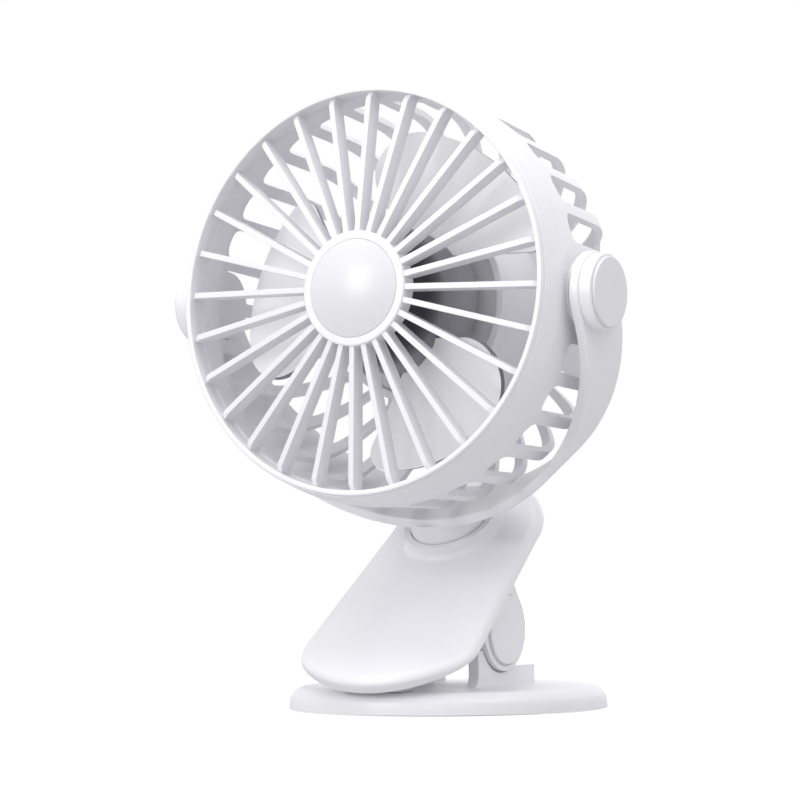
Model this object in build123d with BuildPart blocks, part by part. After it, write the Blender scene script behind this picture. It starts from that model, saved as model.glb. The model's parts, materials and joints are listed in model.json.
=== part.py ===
"""A small table fan on a spring clip, in millimetres.

The fan head tilts in a U-shaped yoke. The yoke swivels on a neck in the sloping upper jaw of the
clip, and the jaw is hinged on a round base. Front is -Y, right is +X, up is +Z. The origin is the
centre of the underside of the base.
"""

from build123d import *
import os
from math import asin, cos, degrees, hypot, radians, sin, sqrt, tan

os.makedirs("parts", exist_ok=True)

# ---------------------------------------------------------------- fits
RUN = 0.06            # radial clearance of a pin or shaft that turns
SNUG = 0.03           # radial clearance of a pin or screw that stays put
FACE_GAP = 0.1        # between flat faces of two bodies
SKIN_GAP = 0.3        # between curved faces of two bodies

# ---------------------------------------------------------------- base
BASE_R = 48.5
BASE_HEIGHT = 7.0
BASE_WALL_TOP_R = 48.1
BASE_WALL_TOP_Z = 3.8
BASE_TOP_R = 44.6
BASE_SHOULDER = 0.47    # bulge of the rounded shoulder between the wall and the top
BASE_RIM_LIFT = 0.4
BASE_SHELL = 1.8
PAD_R = 43.5
PAD_THICK = 1.0
COVER_THICK = 1.2
WEIGHT_R = 29.0
WEIGHT_GAP = 0.1
BASE_SCREWS = 3
BASE_SCREW_CIRCLE = 36.0
BASE_BOSS_R = 3.2

# ---------------------------------------------------------------- hinge of the clip
HINGE_Y = 2.2
HINGE_RISE = 17.0     # hinge axis above the base's top
PIN_R = 2.0
CHEEK_R = 12.5
CHEEK_IN = 13.9       # from the middle to a cheek's inner face
CHEEK_THICK = 5.1
HINGE_CAP_R = 10.5
HINGE_CAP_THICK = 1.0
HINGE_CAP_SPIGOT_R = 6.0
HINGE_CAP_SPIGOT = 1.4
POST_IN = 14.0
POST_THICK = 3.5
POST_GAP = 0.6        # between a cheek and the saddle of its post
POST_FRONT = 14.4     # post's front face, ahead of the hinge axis
POST_FRONT_RISE = 11.0
POST_REAR = 20.8
POST_REAR_RISE = 5.7
POST_FOOT = 3.0       # flare at the foot of a post
EAR_IN = 9.6
EAR_THICK = 3.0
EAR_R = 5.4

# ---------------------------------------------------------------- clip spring
SPRING_R = 4.6
WIRE_R = 0.7
SPRING_SPAN = 16.0
SPRING_TURNS = 7
LOWER_LEG_DIP = 25.0
UPPER_LEG_RISE = 61.0

# ---------------------------------------------------------------- upper jaw
JAW_SLOPE = 36.0
CHEEK_ALONG = 39.3    # hinge axis, along the jaw from the jaw's datum
CHEEK_DROP = 16.8     # hinge axis below the jaw's lower face
JAW_NOSE = 13.0       # jaw's nose, ahead of the datum
JAW_WIDE = 30.2       # half width where the nose begins
JAW_WIDE_ALONG = 2.6
JAW_NARROW = 25.5     # half width where the round tail begins
JAW_TAIL_ALONG = 61.5
JAW_TAIL = 26.0       # length of the round tail
JAW_CORNER_R = 13.0
JAW_CROWN = 6.5
JAW_CROWN_R = 110.0
JAW_EDGE_R = 3.0
JAW_EDGE_SHARE = 0.997  # most of the jaw's side wall that its rounded edge may take
JAW_SHELL = 1.6
FRAME_THICK = 1.4
FRAME_LIFT = 0.2
GRIP_HALF = 10.0
GRIP_FRONT_Y = -45.0
GRIP_BACK_Y = -38.0
FRAME_SCREW_SPOTS = ((-15.0, 8.0), (15.0, 8.0), (-13.0, 76.0), (13.0, 76.0))
FRAME_SCREW_R = 1.0
FRAME_SCREW_HEAD_R = 2.0

# ---------------------------------------------------------------- neck and yoke
NECK_ALONG = 57.9     # neck axis, along the jaw
SEAM_HEIGHT = 10.4    # top of the collar above the jaw's lower face
NECK_R = 12.0
COLLAR_R = 14.3
COLLAR_LIP = 1.4      # depth of the recess that takes the neck
COLLAR_FILLET = 2.4
SPINDLE_R = 6.0
NECK_WASHER_R = 8.5
NECK_WASHER_THICK = 0.8
NECK_SEAT_DROP = 0.7
NECK_SCREW_R = 1.4
NECK_SCREW_HEAD_R = 3.0
NECK_SCREW_HEAD_THICK = 1.2
NECK_SCREW_LENGTH = 7.0
NECK_HEIGHT = 3.1     # underside of the yoke above the seam
YOKE_LEAN = 25.0
YOKE_GAP = 2.1        # between the fan's drum and the yoke's arms
YOKE_WALL = 3.0
YOKE_HALF_WIDTH = 12.1
YOKE_ARC_DROP = 5.7   # centre of the yoke's elliptical bend below the pivot axis
YOKE_ARC_SHORT = 1.2  # depth of the bend short of the drum's radius
YOKE_EDGE_R = 0.5

# ---------------------------------------------------------------- tilt pivots
PIVOT_PAD_R = 9.5
PIVOT_PAD_RISE = 0.6  # pad face beyond the drum
PIVOT_WASHER_R = 8.8
SHOULDER_R = 3.0
PIVOT_THREAD_R = 1.6
PIVOT_THREAD_LENGTH = 2.5
PIVOT_HEAD_R = 5.2
PIVOT_HEAD_THICK = 1.8
COLLAR_OUT = 3.7      # collar beyond the yoke's outer face
PIVOT_COLLAR_R = 11.4
PIVOT_BORE_R = 8.0
PIVOT_CAP_R = 10.35
PIVOT_CAP_THICK = 1.0
PIVOT_PLUG_THICK = 1.2
PIVOT_FLOOR = 3.3     # yoke wall and pad under the screw's head

# ---------------------------------------------------------------- fan head, z along the fan's axis from the pivots
HEAD_TILT = 5.8       # degrees above level
DRUM_R = 62.6
DRUM_WALL = 2.3
DRUM_TAPER = 1.4      # narrowing of the drum's radius from its straight part to the bowl
DRUM_STRAIGHT_Z = 3.0
DRUM_TAIL_Z = -19.0
BOWL_WALL = 2.0
BOWL_SIDE = (3.9, 8.3)        # points of the bowl's outside: in from the drum, behind its tail
BOWL_TURN = (10.2, 16.3)
BOWL_REAR = (17.2, 20.8)
BOWL_REAR_Z = -42.4   # outside of the bowl where it meets the hub
BOWL_FLAT_R = 37.0    # the bowl is flat inside this radius
SPLIT_Z = 12.0        # joint between the guard and the housing
SPIGOT = 5.0
RIM_Z = 21.5
RIM_IN = 3.3          # mouth of the rim, inside the drum's radius
LIP_IN = 1.7
LIP_STEP = 1.7
BAND_IN = 1.2

SPOKES = 28
SPOKE_WIDTH = 1.7
SPOKE_DEPTH = 5.7
SPOKE_TIP_DROP = 0.3
SPOKE_BEND = 1.9
HUB_R = 17.2
HUB_Z = 24.8
HUB_DEPTH = 5.8
HUB_RECESS_R = 12.0
HUB_RECESS = 2.0
HUB_SPOKE_DROP = 0.5
CAP_R = 14.6
CAP_SEAT = 2.3
CAP_CROWN = 3.2

VENTS = 30
VENT_ARC = 8.4        # degrees taken by a vent; the ribs take the rest of each 12 degrees
VENT_FRONT_Z = 3.5
VENT_CORNER_R = 3.4
VENT_INNER_R = 35.0
VENT_INNER_CORNER_R = 2.2
SHORT_VENTS = (6, 7, 8, 9)    # vents beside the right pivot, closed over the rear
SHORT_VENT_R = 53.0
VENT_DISC_R = 10.5    # closed disc of the drum round each pivot

# ---------------------------------------------------------------- rear hub
CUP_R = 29.4
CUP_WALL = 2.0
CUP_FRONT_Z = -13.0
CUP_REAR_Z = -49.0
WELL_Z = -15.5
PLATEAU_R = 15.2
PLATEAU_Z = -13.0
FLOOR = 2.0
WELL_LIP = 2.5        # width of the light ring round the well
COVER_PLATE = 2.0
COVER_LIP = 1.3
COVER_LIP_WALL = 1.2
HUB_SCREWS = 3
HUB_SCREW_CIRCLE = 21.5
HUB_BOSS_R = 3.0
HUB_PEG_R = 1.9
HUB_SCREW_R = 1.1
HUB_SCREW_HEAD_R = 2.0
HUB_SCREW_HEAD_THICK = 1.1
HUB_SCREW_LENGTH = 4.8

# ---------------------------------------------------------------- motor
CAN_R = 12.0
CAN_WALL = 0.7
CAN_LENGTH = 16.5
END_CAP_THICK = 1.2
SHAFT_R = 1.0
BUSHING_R = 3.0
MAGNET_IN_R = 9.2
MAGNET_ARC = 150.0
ROTOR_R = 8.6
MOTOR_SCREW_CIRCLE = 8.0
MOTOR_SCREW_R = 1.0
MOTOR_SCREW_HEAD_R = 1.9

# ---------------------------------------------------------------- impeller
FAN_R = 50.7
FAN_HUB_R = 22.8
FAN_HUB_TAPER = 1.8
FAN_HUB_EDGE = 1.2
FAN_HUB_FRONT_Z = 8.0
FAN_HUB_REAR_Z = -9.5
FAN_HUB_WALL = 1.5
FAN_BOSS_R = 3.0
BLADES = 3
BLADE_THICK = 1.8
BLADE_MID_Z = -0.4
BLADE_TIP_PITCH = 12.5
BLADE_ROOT_PITCH = 21.0
BLADE_TIP_SPAN = 88.5
BLADE_ROOT_SPAN = 52.0
BLADE_LEAD_R = 13.0   # corner of the leading edge
BLADE_TAIL_R = 5.0    # corner of the trailing edge
BLADE_START = 60.0    # middle of the first blade, degrees from +X
BLADE_SLAB = 20.0     # room for the slope of a blade, ahead of and behind its middle

# ---------------------------------------------------------------- battery, board and switch
BATTERY = (30.0, 26.0, 8.6)
BATTERY_PAD_THICK = 0.8
BOARD_R = 24.5
BOARD_THICK = 1.2
BOARD_GAP = 0.2
SOCKET = (8.94, 7.35, 3.26)
SOCKET_SHELL = 0.3
SOCKET_GAP = 0.3
SWITCH_SIDE = 6.0
SWITCH_HEIGHT = 2.6
BUTTON_R = 6.5
BUTTON_FLANGE_R = 7.6
BUTTON_FLANGE_THICK = 1.0
BUTTON_PROUD = 0.8
BUTTON_TRAVEL = 0.5
BUTTON_POST_R = 1.6
PLUNGER = 0.6
LENS_R = 1.2
LENS_OUT = 12.0


# ================================================================ planes
def lean(angle):
    """The direction that leans forward from +Z by this angle."""
    return Vector(0, -sin(radians(angle)), cos(radians(angle)))


def rise(angle):
    """The direction that climbs from +Y by this angle."""
    return Vector(0, cos(radians(angle)), sin(radians(angle)))


hinge = Vector(0, HINGE_Y, BASE_HEIGHT + HINGE_RISE)
jaw_along = rise(JAW_SLOPE)
jaw_up = lean(JAW_SLOPE)
jaw_datum = hinge - jaw_along * CHEEK_ALONG + jaw_up * CHEEK_DROP
jaw_plane = Plane(jaw_datum, x_dir=(1, 0, 0), z_dir=jaw_up)
jaw_section = Plane(jaw_datum, x_dir=(1, 0, 0), z_dir=jaw_along * -1)

seam = jaw_datum + jaw_along * NECK_ALONG + jaw_up * SEAM_HEIGHT
neck_plane = Plane(seam, x_dir=(1, 0, 0), z_dir=jaw_up)

yoke_arc_depth = DRUM_R - YOKE_ARC_SHORT
yoke_inner_r = DRUM_R + YOKE_GAP
yoke_outer_r = yoke_inner_r + YOKE_WALL
yoke_bottom = YOKE_ARC_DROP + yoke_arc_depth + YOKE_WALL
yoke_up = lean(YOKE_LEAN)
yoke_front = rise(YOKE_LEAN) * -1
pivot = seam + yoke_up * (yoke_bottom + NECK_HEIGHT)
yoke_plane = Plane(pivot, x_dir=(1, 0, 0), z_dir=yoke_front)
yoke_side = Plane(pivot, x_dir=yoke_front, z_dir=(-1, 0, 0))

head_front = rise(-HEAD_TILT) * -1
head_plane = Plane(pivot, x_dir=(1, 0, 0), z_dir=head_front)
head_section = Plane(pivot, x_dir=(1, 0, 0), z_dir=lean(-HEAD_TILT) * -1)
head_axis = Axis(pivot, head_front)


def across(side, centre, distance):
    """The plane square to X, this far to one side of a point, facing outwards."""
    return Plane(centre + Vector(side * distance, 0, 0), x_dir=(0, side, 0), z_dir=(side, 0, 0))


def polar(radius, angle):
    """The point at this radius and angle, in degrees from +X."""
    return (radius * cos(radians(angle)), radius * sin(radians(angle)))


def write(builder, label):
    """Names a finished piece and writes it."""
    builder.part.label = label
    export_step(builder.part, f"parts/{label}.step")


# ================================================================ base
base_screw_ring = [polar(BASE_SCREW_CIRCLE, 90 + 360 * k / BASE_SCREWS) for k in range(BASE_SCREWS)]
base_roof_z = BASE_HEIGHT - BASE_SHELL
cover_top_z = PAD_THICK + COVER_THICK
saddle_r = CHEEK_R + POST_GAP

with BuildPart() as base_plate:
    with BuildSketch(Plane.XZ) as base_outline:
        with BuildLine():
            SagittaArc((BASE_TOP_R, BASE_HEIGHT), (BASE_WALL_TOP_R, BASE_WALL_TOP_Z), BASE_SHOULDER)
            Polyline(
                (BASE_WALL_TOP_R, BASE_WALL_TOP_Z),
                (BASE_R, BASE_RIM_LIFT),
                (BASE_R - BASE_SHELL, BASE_RIM_LIFT),
                (BASE_WALL_TOP_R - BASE_SHELL, BASE_WALL_TOP_Z - BASE_SHELL / 3),
                (BASE_TOP_R, base_roof_z),
                (0, base_roof_z),
                (0, BASE_HEIGHT),
                (BASE_TOP_R, BASE_HEIGHT),
            )
        make_face()
        brow = base_outline.vertices().sort_by_distance((BASE_TOP_R, BASE_HEIGHT))[0]
        fillet(brow, radius=BASE_SHELL)
    revolve(axis=Axis.Z)
    with BuildSketch(Plane.XY.offset(cover_top_z)):
        with Locations(*base_screw_ring):
            Circle(BASE_BOSS_R)
            Circle(1.0, mode=Mode.SUBTRACT)
    extrude(amount=base_roof_z - cover_top_z)
    for side in (-1, 1):
        # post: its saddle stands clear of the jaw's cheek, and its foot flares out in front
        with BuildSketch(across(side, Vector(0, HINGE_Y, BASE_HEIGHT), POST_IN)):
            front = -side * POST_FRONT
            back = side * POST_REAR
            with BuildLine():
                Polyline(
                    (front - side * POST_FOOT, 0),
                    (back, 0),
                    (back, POST_REAR_RISE),
                    (0, POST_REAR_RISE),
                    (0, POST_FRONT_RISE),
                    (front, POST_FRONT_RISE),
                    (front, POST_FOOT),
                )
                RadiusArc((front, POST_FOOT), (front - side * POST_FOOT, 0), side * POST_FOOT)
            make_face()
            with Locations((0, HINGE_RISE)):
                Circle(saddle_r, mode=Mode.SUBTRACT)
        extrude(amount=POST_THICK)
        # ear: it carries the hinge pin inside the cheeks
        with BuildSketch(across(side, Vector(0, HINGE_Y, BASE_HEIGHT), EAR_IN)):
            with Locations((0, HINGE_RISE)):
                Circle(EAR_R)
            with Locations((0, HINGE_RISE / 2)):
                Rectangle(2 * EAR_R, HINGE_RISE)
            with Locations((0, HINGE_RISE)):
                Circle(PIN_R + SNUG, mode=Mode.SUBTRACT)
        extrude(amount=EAR_THICK)
write(base_plate, "base_plate")

with BuildPart() as base_weight:
    with BuildSketch(Plane.XY.offset(cover_top_z)):
        Circle(WEIGHT_R)
    extrude(amount=base_roof_z - cover_top_z - WEIGHT_GAP)
    chamfer(base_weight.edges().filter_by(GeomType.CIRCLE), length=0.5)
write(base_weight, "base_weight")

with BuildPart() as base_cover:
    with BuildSketch(Plane.XY.offset(PAD_THICK)):
        Circle(BASE_WALL_TOP_R - BASE_SHELL - 0.2)
    extrude(amount=COVER_THICK)
    with Locations(*[Plane.XY.offset(PAD_THICK) * Pos(x, y) * Rot(180, 0, 0) for x, y in base_screw_ring]):
        CounterSinkHole(radius=1.3, counter_sink_radius=2.4, depth=COVER_THICK)
write(base_cover, "base_cover")

with BuildPart() as base_screws:
    with BuildSketch(Plane.XY.offset(cover_top_z)):
        with Locations(*base_screw_ring):
            Circle(1.2)
    extrude(amount=-COVER_THICK)
    with BuildSketch(Plane.XY.offset(cover_top_z)):
        with Locations(*base_screw_ring):
            Circle(0.95)
    extrude(amount=2.4)
    with BuildSketch(Plane.XY.offset(PAD_THICK)):
        with Locations(*base_screw_ring):
            Circle(2.3)
    extrude(amount=1.0, taper=45)
write(base_screws, "base_screws")

with BuildPart() as foot_pad:
    with BuildSketch(Plane.XY):
        Circle(PAD_R)
    extrude(amount=PAD_THICK)
    chamfer(foot_pad.edges().group_by(Axis.Z)[0], length=0.3)
write(foot_pad, "foot_pad")

# ================================================================ hinge pin and clip spring
cheek_out = CHEEK_IN + CHEEK_THICK
pin_half = cheek_out - HINGE_CAP_SPIGOT - FACE_GAP

with BuildPart() as hinge_pin:
    with BuildSketch(across(-1, hinge, pin_half)):
        Circle(PIN_R)
    extrude(amount=-2 * pin_half)
    chamfer(hinge_pin.edges().filter_by(GeomType.CIRCLE), length=0.3)
write(hinge_pin, "hinge_pin")


def on_coil(turn_angle):
    """A point of the spring's coil and its direction, for an angle turned from the lower leg."""
    angle = radians(-LOWER_LEG_DIP - 90 - turn_angle)
    climb = SPRING_SPAN / radians(coil_angle)
    point = hinge + Vector(
        SPRING_SPAN / 2 - climb * radians(turn_angle), SPRING_R * cos(angle), SPRING_R * sin(angle)
    )
    heading = Vector(-climb, SPRING_R * sin(angle), -SPRING_R * cos(angle))
    return point, heading.normalized()


def biarc(start, start_heading, end, end_heading):
    """Two arcs from start to end that keep both headings. Returns the point where they meet."""
    chord = end - start
    both = start_heading + end_heading
    bend = 2 * (1 - start_heading.dot(end_heading))
    reach = (-chord.dot(both) + sqrt(chord.dot(both) ** 2 + bend * chord.dot(chord))) / bend
    return (start + end + (start_heading - end_heading) * reach) / 2


coil_angle = 360 * SPRING_TURNS + (360 - LOWER_LEG_DIP - 90 - (UPPER_LEG_RISE + 90) - 0) % 360
quarters = round(coil_angle / 90)
coil = [on_coil(coil_angle * k / quarters) for k in range(quarters + 1)]
lower_leg = (HINGE_RISE - SPRING_R * cos(radians(LOWER_LEG_DIP)) - WIRE_R - SKIN_GAP) / sin(
    radians(LOWER_LEG_DIP)
)
leg_climb = sin(radians(UPPER_LEG_RISE - JAW_SLOPE))
upper_leg = (
    CHEEK_DROP + FRAME_LIFT - SPRING_R * cos(radians(UPPER_LEG_RISE - JAW_SLOPE)) - WIRE_R - SKIN_GAP
) / leg_climb
leg_start = coil[0][0] - coil[0][1] * lower_leg
leg_end = coil[-1][0] + coil[-1][1] * upper_leg

with BuildPart() as jaw_spring:
    with BuildLine() as spring_path:
        Line(leg_start, coil[0][0])
        for (start, start_heading), (end, end_heading) in zip(coil, coil[1:]):
            middle = biarc(start, start_heading, end, end_heading)
            first = TangentArc(start, middle, tangent=start_heading)
            TangentArc(middle, end, tangent=first % 1)
        Line(coil[-1][0], leg_end)
    with BuildSketch(Plane(leg_start, z_dir=coil[0][1])):
        Circle(WIRE_R)
    sweep(path=spring_path.wires()[0])
write(jaw_spring, "jaw_spring")
print("spring: least gap to itself", round(SPRING_SPAN / (coil_angle / 360) - 2 * WIRE_R, 2), "mm")


# ================================================================ upper jaw
def jaw_outline(inset):
    """The jaw's outline on the jaw's plane, drawn in by an inset."""
    with BuildSketch(mode=Mode.PRIVATE) as outline:
        with BuildLine():
            ThreePointArc((-JAW_WIDE, JAW_WIDE_ALONG), (0, -JAW_NOSE), (JAW_WIDE, JAW_WIDE_ALONG))
            Line((JAW_WIDE, JAW_WIDE_ALONG), (JAW_NARROW, JAW_TAIL_ALONG))
            ThreePointArc(
                (JAW_NARROW, JAW_TAIL_ALONG),
                (0, JAW_TAIL_ALONG + JAW_TAIL),
                (-JAW_NARROW, JAW_TAIL_ALONG),
            )
            Line((-JAW_NARROW, JAW_TAIL_ALONG), (-JAW_WIDE, JAW_WIDE_ALONG))
        make_face()
        fillet(outline.vertices().group_by(Axis.Y)[0], radius=JAW_CORNER_R)
        if inset:
            offset(amount=-inset)
    return outline.sketch


def crowned(inset):
    """The solid under the jaw's crowned skin, drawn in on all sides by an inset."""
    with BuildPart(mode=Mode.PRIVATE) as body:
        with BuildSketch(jaw_plane):
            add(jaw_outline(inset))
        extrude(amount=JAW_CROWN - inset)
        with BuildSketch(jaw_section):
            with Locations((0, JAW_CROWN - JAW_CROWN_R)):
                Circle(JAW_CROWN_R - inset)
        extrude(amount=JAW_TAIL_ALONG + 2 * JAW_TAIL, both=True, mode=Mode.INTERSECT)
    return body


jaw_side_wall = JAW_CROWN - JAW_CROWN_R + sqrt(JAW_CROWN_R**2 - JAW_WIDE**2)
jaw_edge_angle = (90 - degrees(asin(JAW_WIDE / JAW_CROWN_R))) / 2
jaw_edge_r = min(JAW_EDGE_R, JAW_EDGE_SHARE * jaw_side_wall / tan(radians(jaw_edge_angle)))
jaw_solid = crowned(0)
jaw_hollow = crowned(JAW_SHELL)
washer_seat = JAW_CROWN - JAW_SHELL - NECK_SEAT_DROP
frame_top = FRAME_LIFT + FRAME_THICK
neck_spot = (0, NECK_ALONG)


def jaw_level(height):
    """The plane this far above the jaw's datum plane."""
    return jaw_plane.offset(height)


def at_collar_foot(edge):
    """True for an edge where the swivel collar meets the crowned skin."""
    for place in (0, 0.3, 0.7):
        spot = jaw_plane.to_local_coords(edge @ place)
        if abs(hypot(spot.X, spot.Y - NECK_ALONG) - COLLAR_R) > 0.05:
            return False
        if not JAW_CROWN - 1.3 < spot.Z < JAW_CROWN + 0.3:
            return False
    return True


with BuildPart() as jaw_cover:
    add(jaw_solid.part)
    crown = jaw_cover.faces().filter_by(GeomType.CYLINDER).sort_by(SortBy.AREA)[-1]
    fillet(crown.edges(), radius=jaw_edge_r)
    with BuildSketch(jaw_level(washer_seat)):
        with Locations(neck_spot):
            Circle(COLLAR_R)
    extrude(amount=SEAM_HEIGHT - washer_seat)
    fillet(jaw_cover.edges().filter_by(at_collar_foot), radius=COLLAR_FILLET)
    add(jaw_hollow.part, mode=Mode.SUBTRACT)
    # flat seat for the washer under the collar
    with BuildSketch(jaw_level(washer_seat)):
        with Locations(neck_spot):
            Circle(COLLAR_R - 2)
    extrude(amount=SEAM_HEIGHT - washer_seat - COLLAR_LIP)
    with BuildSketch(jaw_level(SEAM_HEIGHT)):
        with Locations(neck_spot):
            Circle(NECK_R + SKIN_GAP)
    extrude(amount=-COLLAR_LIP, mode=Mode.SUBTRACT)
    with BuildSketch(jaw_level(SEAM_HEIGHT)):
        with Locations(neck_spot):
            Circle(SPINDLE_R + RUN)
    extrude(amount=-SEAM_HEIGHT, mode=Mode.SUBTRACT)
    # screw bosses that reach down to the frame
    with BuildSketch(jaw_level(frame_top)):
        with Locations(*FRAME_SCREW_SPOTS):
            Circle(2.6)
    extrude(amount=JAW_CROWN - frame_top - 3 * JAW_SHELL / 2)
    with BuildSketch(jaw_level(frame_top)):
        with Locations(*FRAME_SCREW_SPOTS):
            Circle(FRAME_SCREW_R + SNUG)
    extrude(amount=JAW_CROWN - frame_top - 2 * JAW_SHELL, mode=Mode.SUBTRACT)
write(jaw_cover, "jaw_cover")

frame_blank = crowned(JAW_SHELL + 0.1)

with BuildPart() as jaw_frame:
    add(frame_blank.part)
    with BuildSketch(jaw_level(FRAME_LIFT)):
        Rectangle(3 * JAW_TAIL_ALONG, 3 * JAW_TAIL_ALONG)
    extrude(amount=FRAME_THICK, mode=Mode.INTERSECT)
    with BuildSketch(jaw_level(0)):
        with Locations(neck_spot):
            Circle(NECK_SCREW_HEAD_R + 0.6)
        with Locations(*FRAME_SCREW_SPOTS):
            Circle(FRAME_SCREW_R + SNUG)
    extrude(amount=JAW_CROWN, mode=Mode.SUBTRACT)
    with BuildSketch(jaw_level(0)):
        with Locations(*FRAME_SCREW_SPOTS):
            Circle(FRAME_SCREW_HEAD_R + 0.1)
    extrude(amount=FRAME_LIFT + FRAME_THICK / 2, mode=Mode.SUBTRACT)
    for side in (-1, 1):
        # cheek: a round drum on the hinge pin, joined to the plate
        cheek = Plane(hinge + Vector(side * CHEEK_IN, 0, 0), x_dir=jaw_along * side, z_dir=(side, 0, 0))
        with BuildSketch(cheek):
            Circle(CHEEK_R)
            with Locations((0, (CHEEK_DROP + frame_top) / 2)):
                Rectangle(2 * CHEEK_R, CHEEK_DROP + frame_top)
            Circle(PIN_R + RUN, mode=Mode.SUBTRACT)
        extrude(amount=CHEEK_THICK)
        with BuildSketch(cheek.offset(CHEEK_THICK)):
            Circle(HINGE_CAP_SPIGOT_R)
        extrude(amount=-HINGE_CAP_SPIGOT, mode=Mode.SUBTRACT)
        with BuildSketch(cheek.offset(CHEEK_THICK)):
            Circle(HINGE_CAP_R + 0.5)
            Circle(HINGE_CAP_R, mode=Mode.SUBTRACT)
        extrude(amount=-0.5, mode=Mode.SUBTRACT)
write(jaw_frame, "jaw_frame")

with BuildPart() as jaw_frame_screws:
    with BuildSketch(jaw_level(FRAME_LIFT)):
        with Locations(*FRAME_SCREW_SPOTS):
            Circle(FRAME_SCREW_HEAD_R)
    extrude(amount=FRAME_THICK / 2)
    with BuildSketch(jaw_level(FRAME_LIFT)):
        with Locations(*FRAME_SCREW_SPOTS):
            Circle(FRAME_SCREW_R)
    extrude(amount=JAW_CROWN - 2 * JAW_SHELL - FRAME_LIFT - 0.2)
    with BuildSketch(jaw_level(FRAME_LIFT)):
        with Locations(*FRAME_SCREW_SPOTS):
            Rectangle(2.4, 0.5)
            Rectangle(0.5, 2.4)
    extrude(amount=0.4, mode=Mode.SUBTRACT)
write(jaw_frame_screws, "jaw_frame_screws")

for side, label in ((-1, "hinge_cap_left"), (1, "hinge_cap_right")):
    with BuildPart() as hinge_cap:
        with BuildSketch(across(side, hinge, cheek_out - HINGE_CAP_SPIGOT)):
            Circle(HINGE_CAP_SPIGOT_R - SNUG)
        extrude(amount=HINGE_CAP_SPIGOT)
        with BuildSketch(across(side, hinge, cheek_out)):
            Circle(HINGE_CAP_R)
        extrude(amount=HINGE_CAP_THICK)
        rim = hinge_cap.edges().filter_by(GeomType.CIRCLE).sort_by(Axis((0, 0, 0), (side, 0, 0)))[-1]
        fillet(rim, radius=0.4)
    write(hinge_cap, label)

frame_under = jaw_datum + jaw_up * FRAME_LIFT


def under_frame(y):
    """Height of the frame's underside at this y."""
    return frame_under.Z + (y - frame_under.Y) * tan(radians(JAW_SLOPE))


with BuildPart() as jaw_grip_pad:
    with BuildSketch(Plane.YZ):
        with BuildLine():
            Polyline(
                (GRIP_FRONT_Y, BASE_HEIGHT + FACE_GAP),
                (GRIP_BACK_Y, BASE_HEIGHT + FACE_GAP),
                (GRIP_BACK_Y, under_frame(GRIP_BACK_Y)),
                (GRIP_FRONT_Y, under_frame(GRIP_FRONT_Y)),
                close=True,
            )
        make_face()
    extrude(amount=GRIP_HALF, both=True)
    fillet(jaw_grip_pad.edges().filter_by(GeomType.LINE).group_by(Axis.Z)[0], radius=0.4)
write(jaw_grip_pad, "jaw_grip_pad")


# ================================================================ yoke
def yoke_curve(half_width, depth):
    """The region inside one of the yoke's two outlines."""
    with BuildSketch(mode=Mode.PRIVATE) as region:
        with Locations((0, -YOKE_ARC_DROP)):
            Ellipse(half_width, depth)
            Rectangle(2 * half_width, depth + 2 * YOKE_ARC_DROP, align=(Align.CENTER, Align.MIN))
    return region.sketch


neck_foot = COLLAR_LIP - FACE_GAP
washer_top = washer_seat - FACE_GAP
pivot_floor_x = yoke_inner_r + PIVOT_FLOOR
collar_x = yoke_outer_r + COLLAR_OUT
screw_head_x = pivot_floor_x + FACE_GAP

with BuildPart() as neck:
    with BuildSketch(neck_plane.offset(-neck_foot)):
        Circle(NECK_R)
    extrude(amount=neck_foot + 3 * NECK_HEIGHT)
    with BuildSketch(yoke_plane):
        add(yoke_curve(yoke_outer_r - 1, yoke_arc_depth + YOKE_WALL - 1))
    extrude(amount=2 * NECK_R, both=True, mode=Mode.SUBTRACT)

with BuildPart() as yoke:
    with BuildSketch(yoke_plane):
        add(yoke_curve(yoke_outer_r, yoke_arc_depth + YOKE_WALL))
        add(yoke_curve(yoke_inner_r, yoke_arc_depth), mode=Mode.SUBTRACT)
    extrude(amount=YOKE_HALF_WIDTH, both=True)
    with BuildSketch(yoke_side):
        Circle(YOKE_HALF_WIDTH)
        with Locations((0, -(yoke_bottom + NECK_R) / 2)):
            Rectangle(2 * YOKE_HALF_WIDTH, yoke_bottom + NECK_R)
    extrude(amount=yoke_outer_r + NECK_R, both=True, mode=Mode.INTERSECT)
    fillet(yoke.edges(), radius=YOKE_EDGE_R)
    add(neck.part)
    with BuildSketch(neck_plane.offset(-neck_foot)):
        Circle(SPINDLE_R)
    extrude(amount=washer_top - SEAM_HEIGHT + neck_foot)
    with BuildSketch(jaw_level(washer_top)):
        with Locations(neck_spot):
            Circle(NECK_SCREW_R + SNUG)
    extrude(amount=NECK_SCREW_LENGTH, mode=Mode.SUBTRACT)
    for side in (-1, 1):
        with BuildSketch(across(side, pivot, yoke_outer_r - 1)):
            Circle(PIVOT_COLLAR_R)
        extrude(amount=COLLAR_OUT + 1)
        outer = yoke.faces().sort_by(Axis((0, 0, 0), (side, 0, 0)))[-1]
        fillet(outer.edges(), radius=0.4)
        with BuildSketch(across(side, pivot, collar_x)):
            Circle(PIVOT_BORE_R)
        extrude(amount=pivot_floor_x - collar_x, mode=Mode.SUBTRACT)
        with BuildSketch(across(side, pivot, collar_x)):
            Circle(SHOULDER_R + RUN)
        extrude(amount=yoke_inner_r - collar_x - 1, mode=Mode.SUBTRACT)
write(yoke, "yoke")

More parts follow.
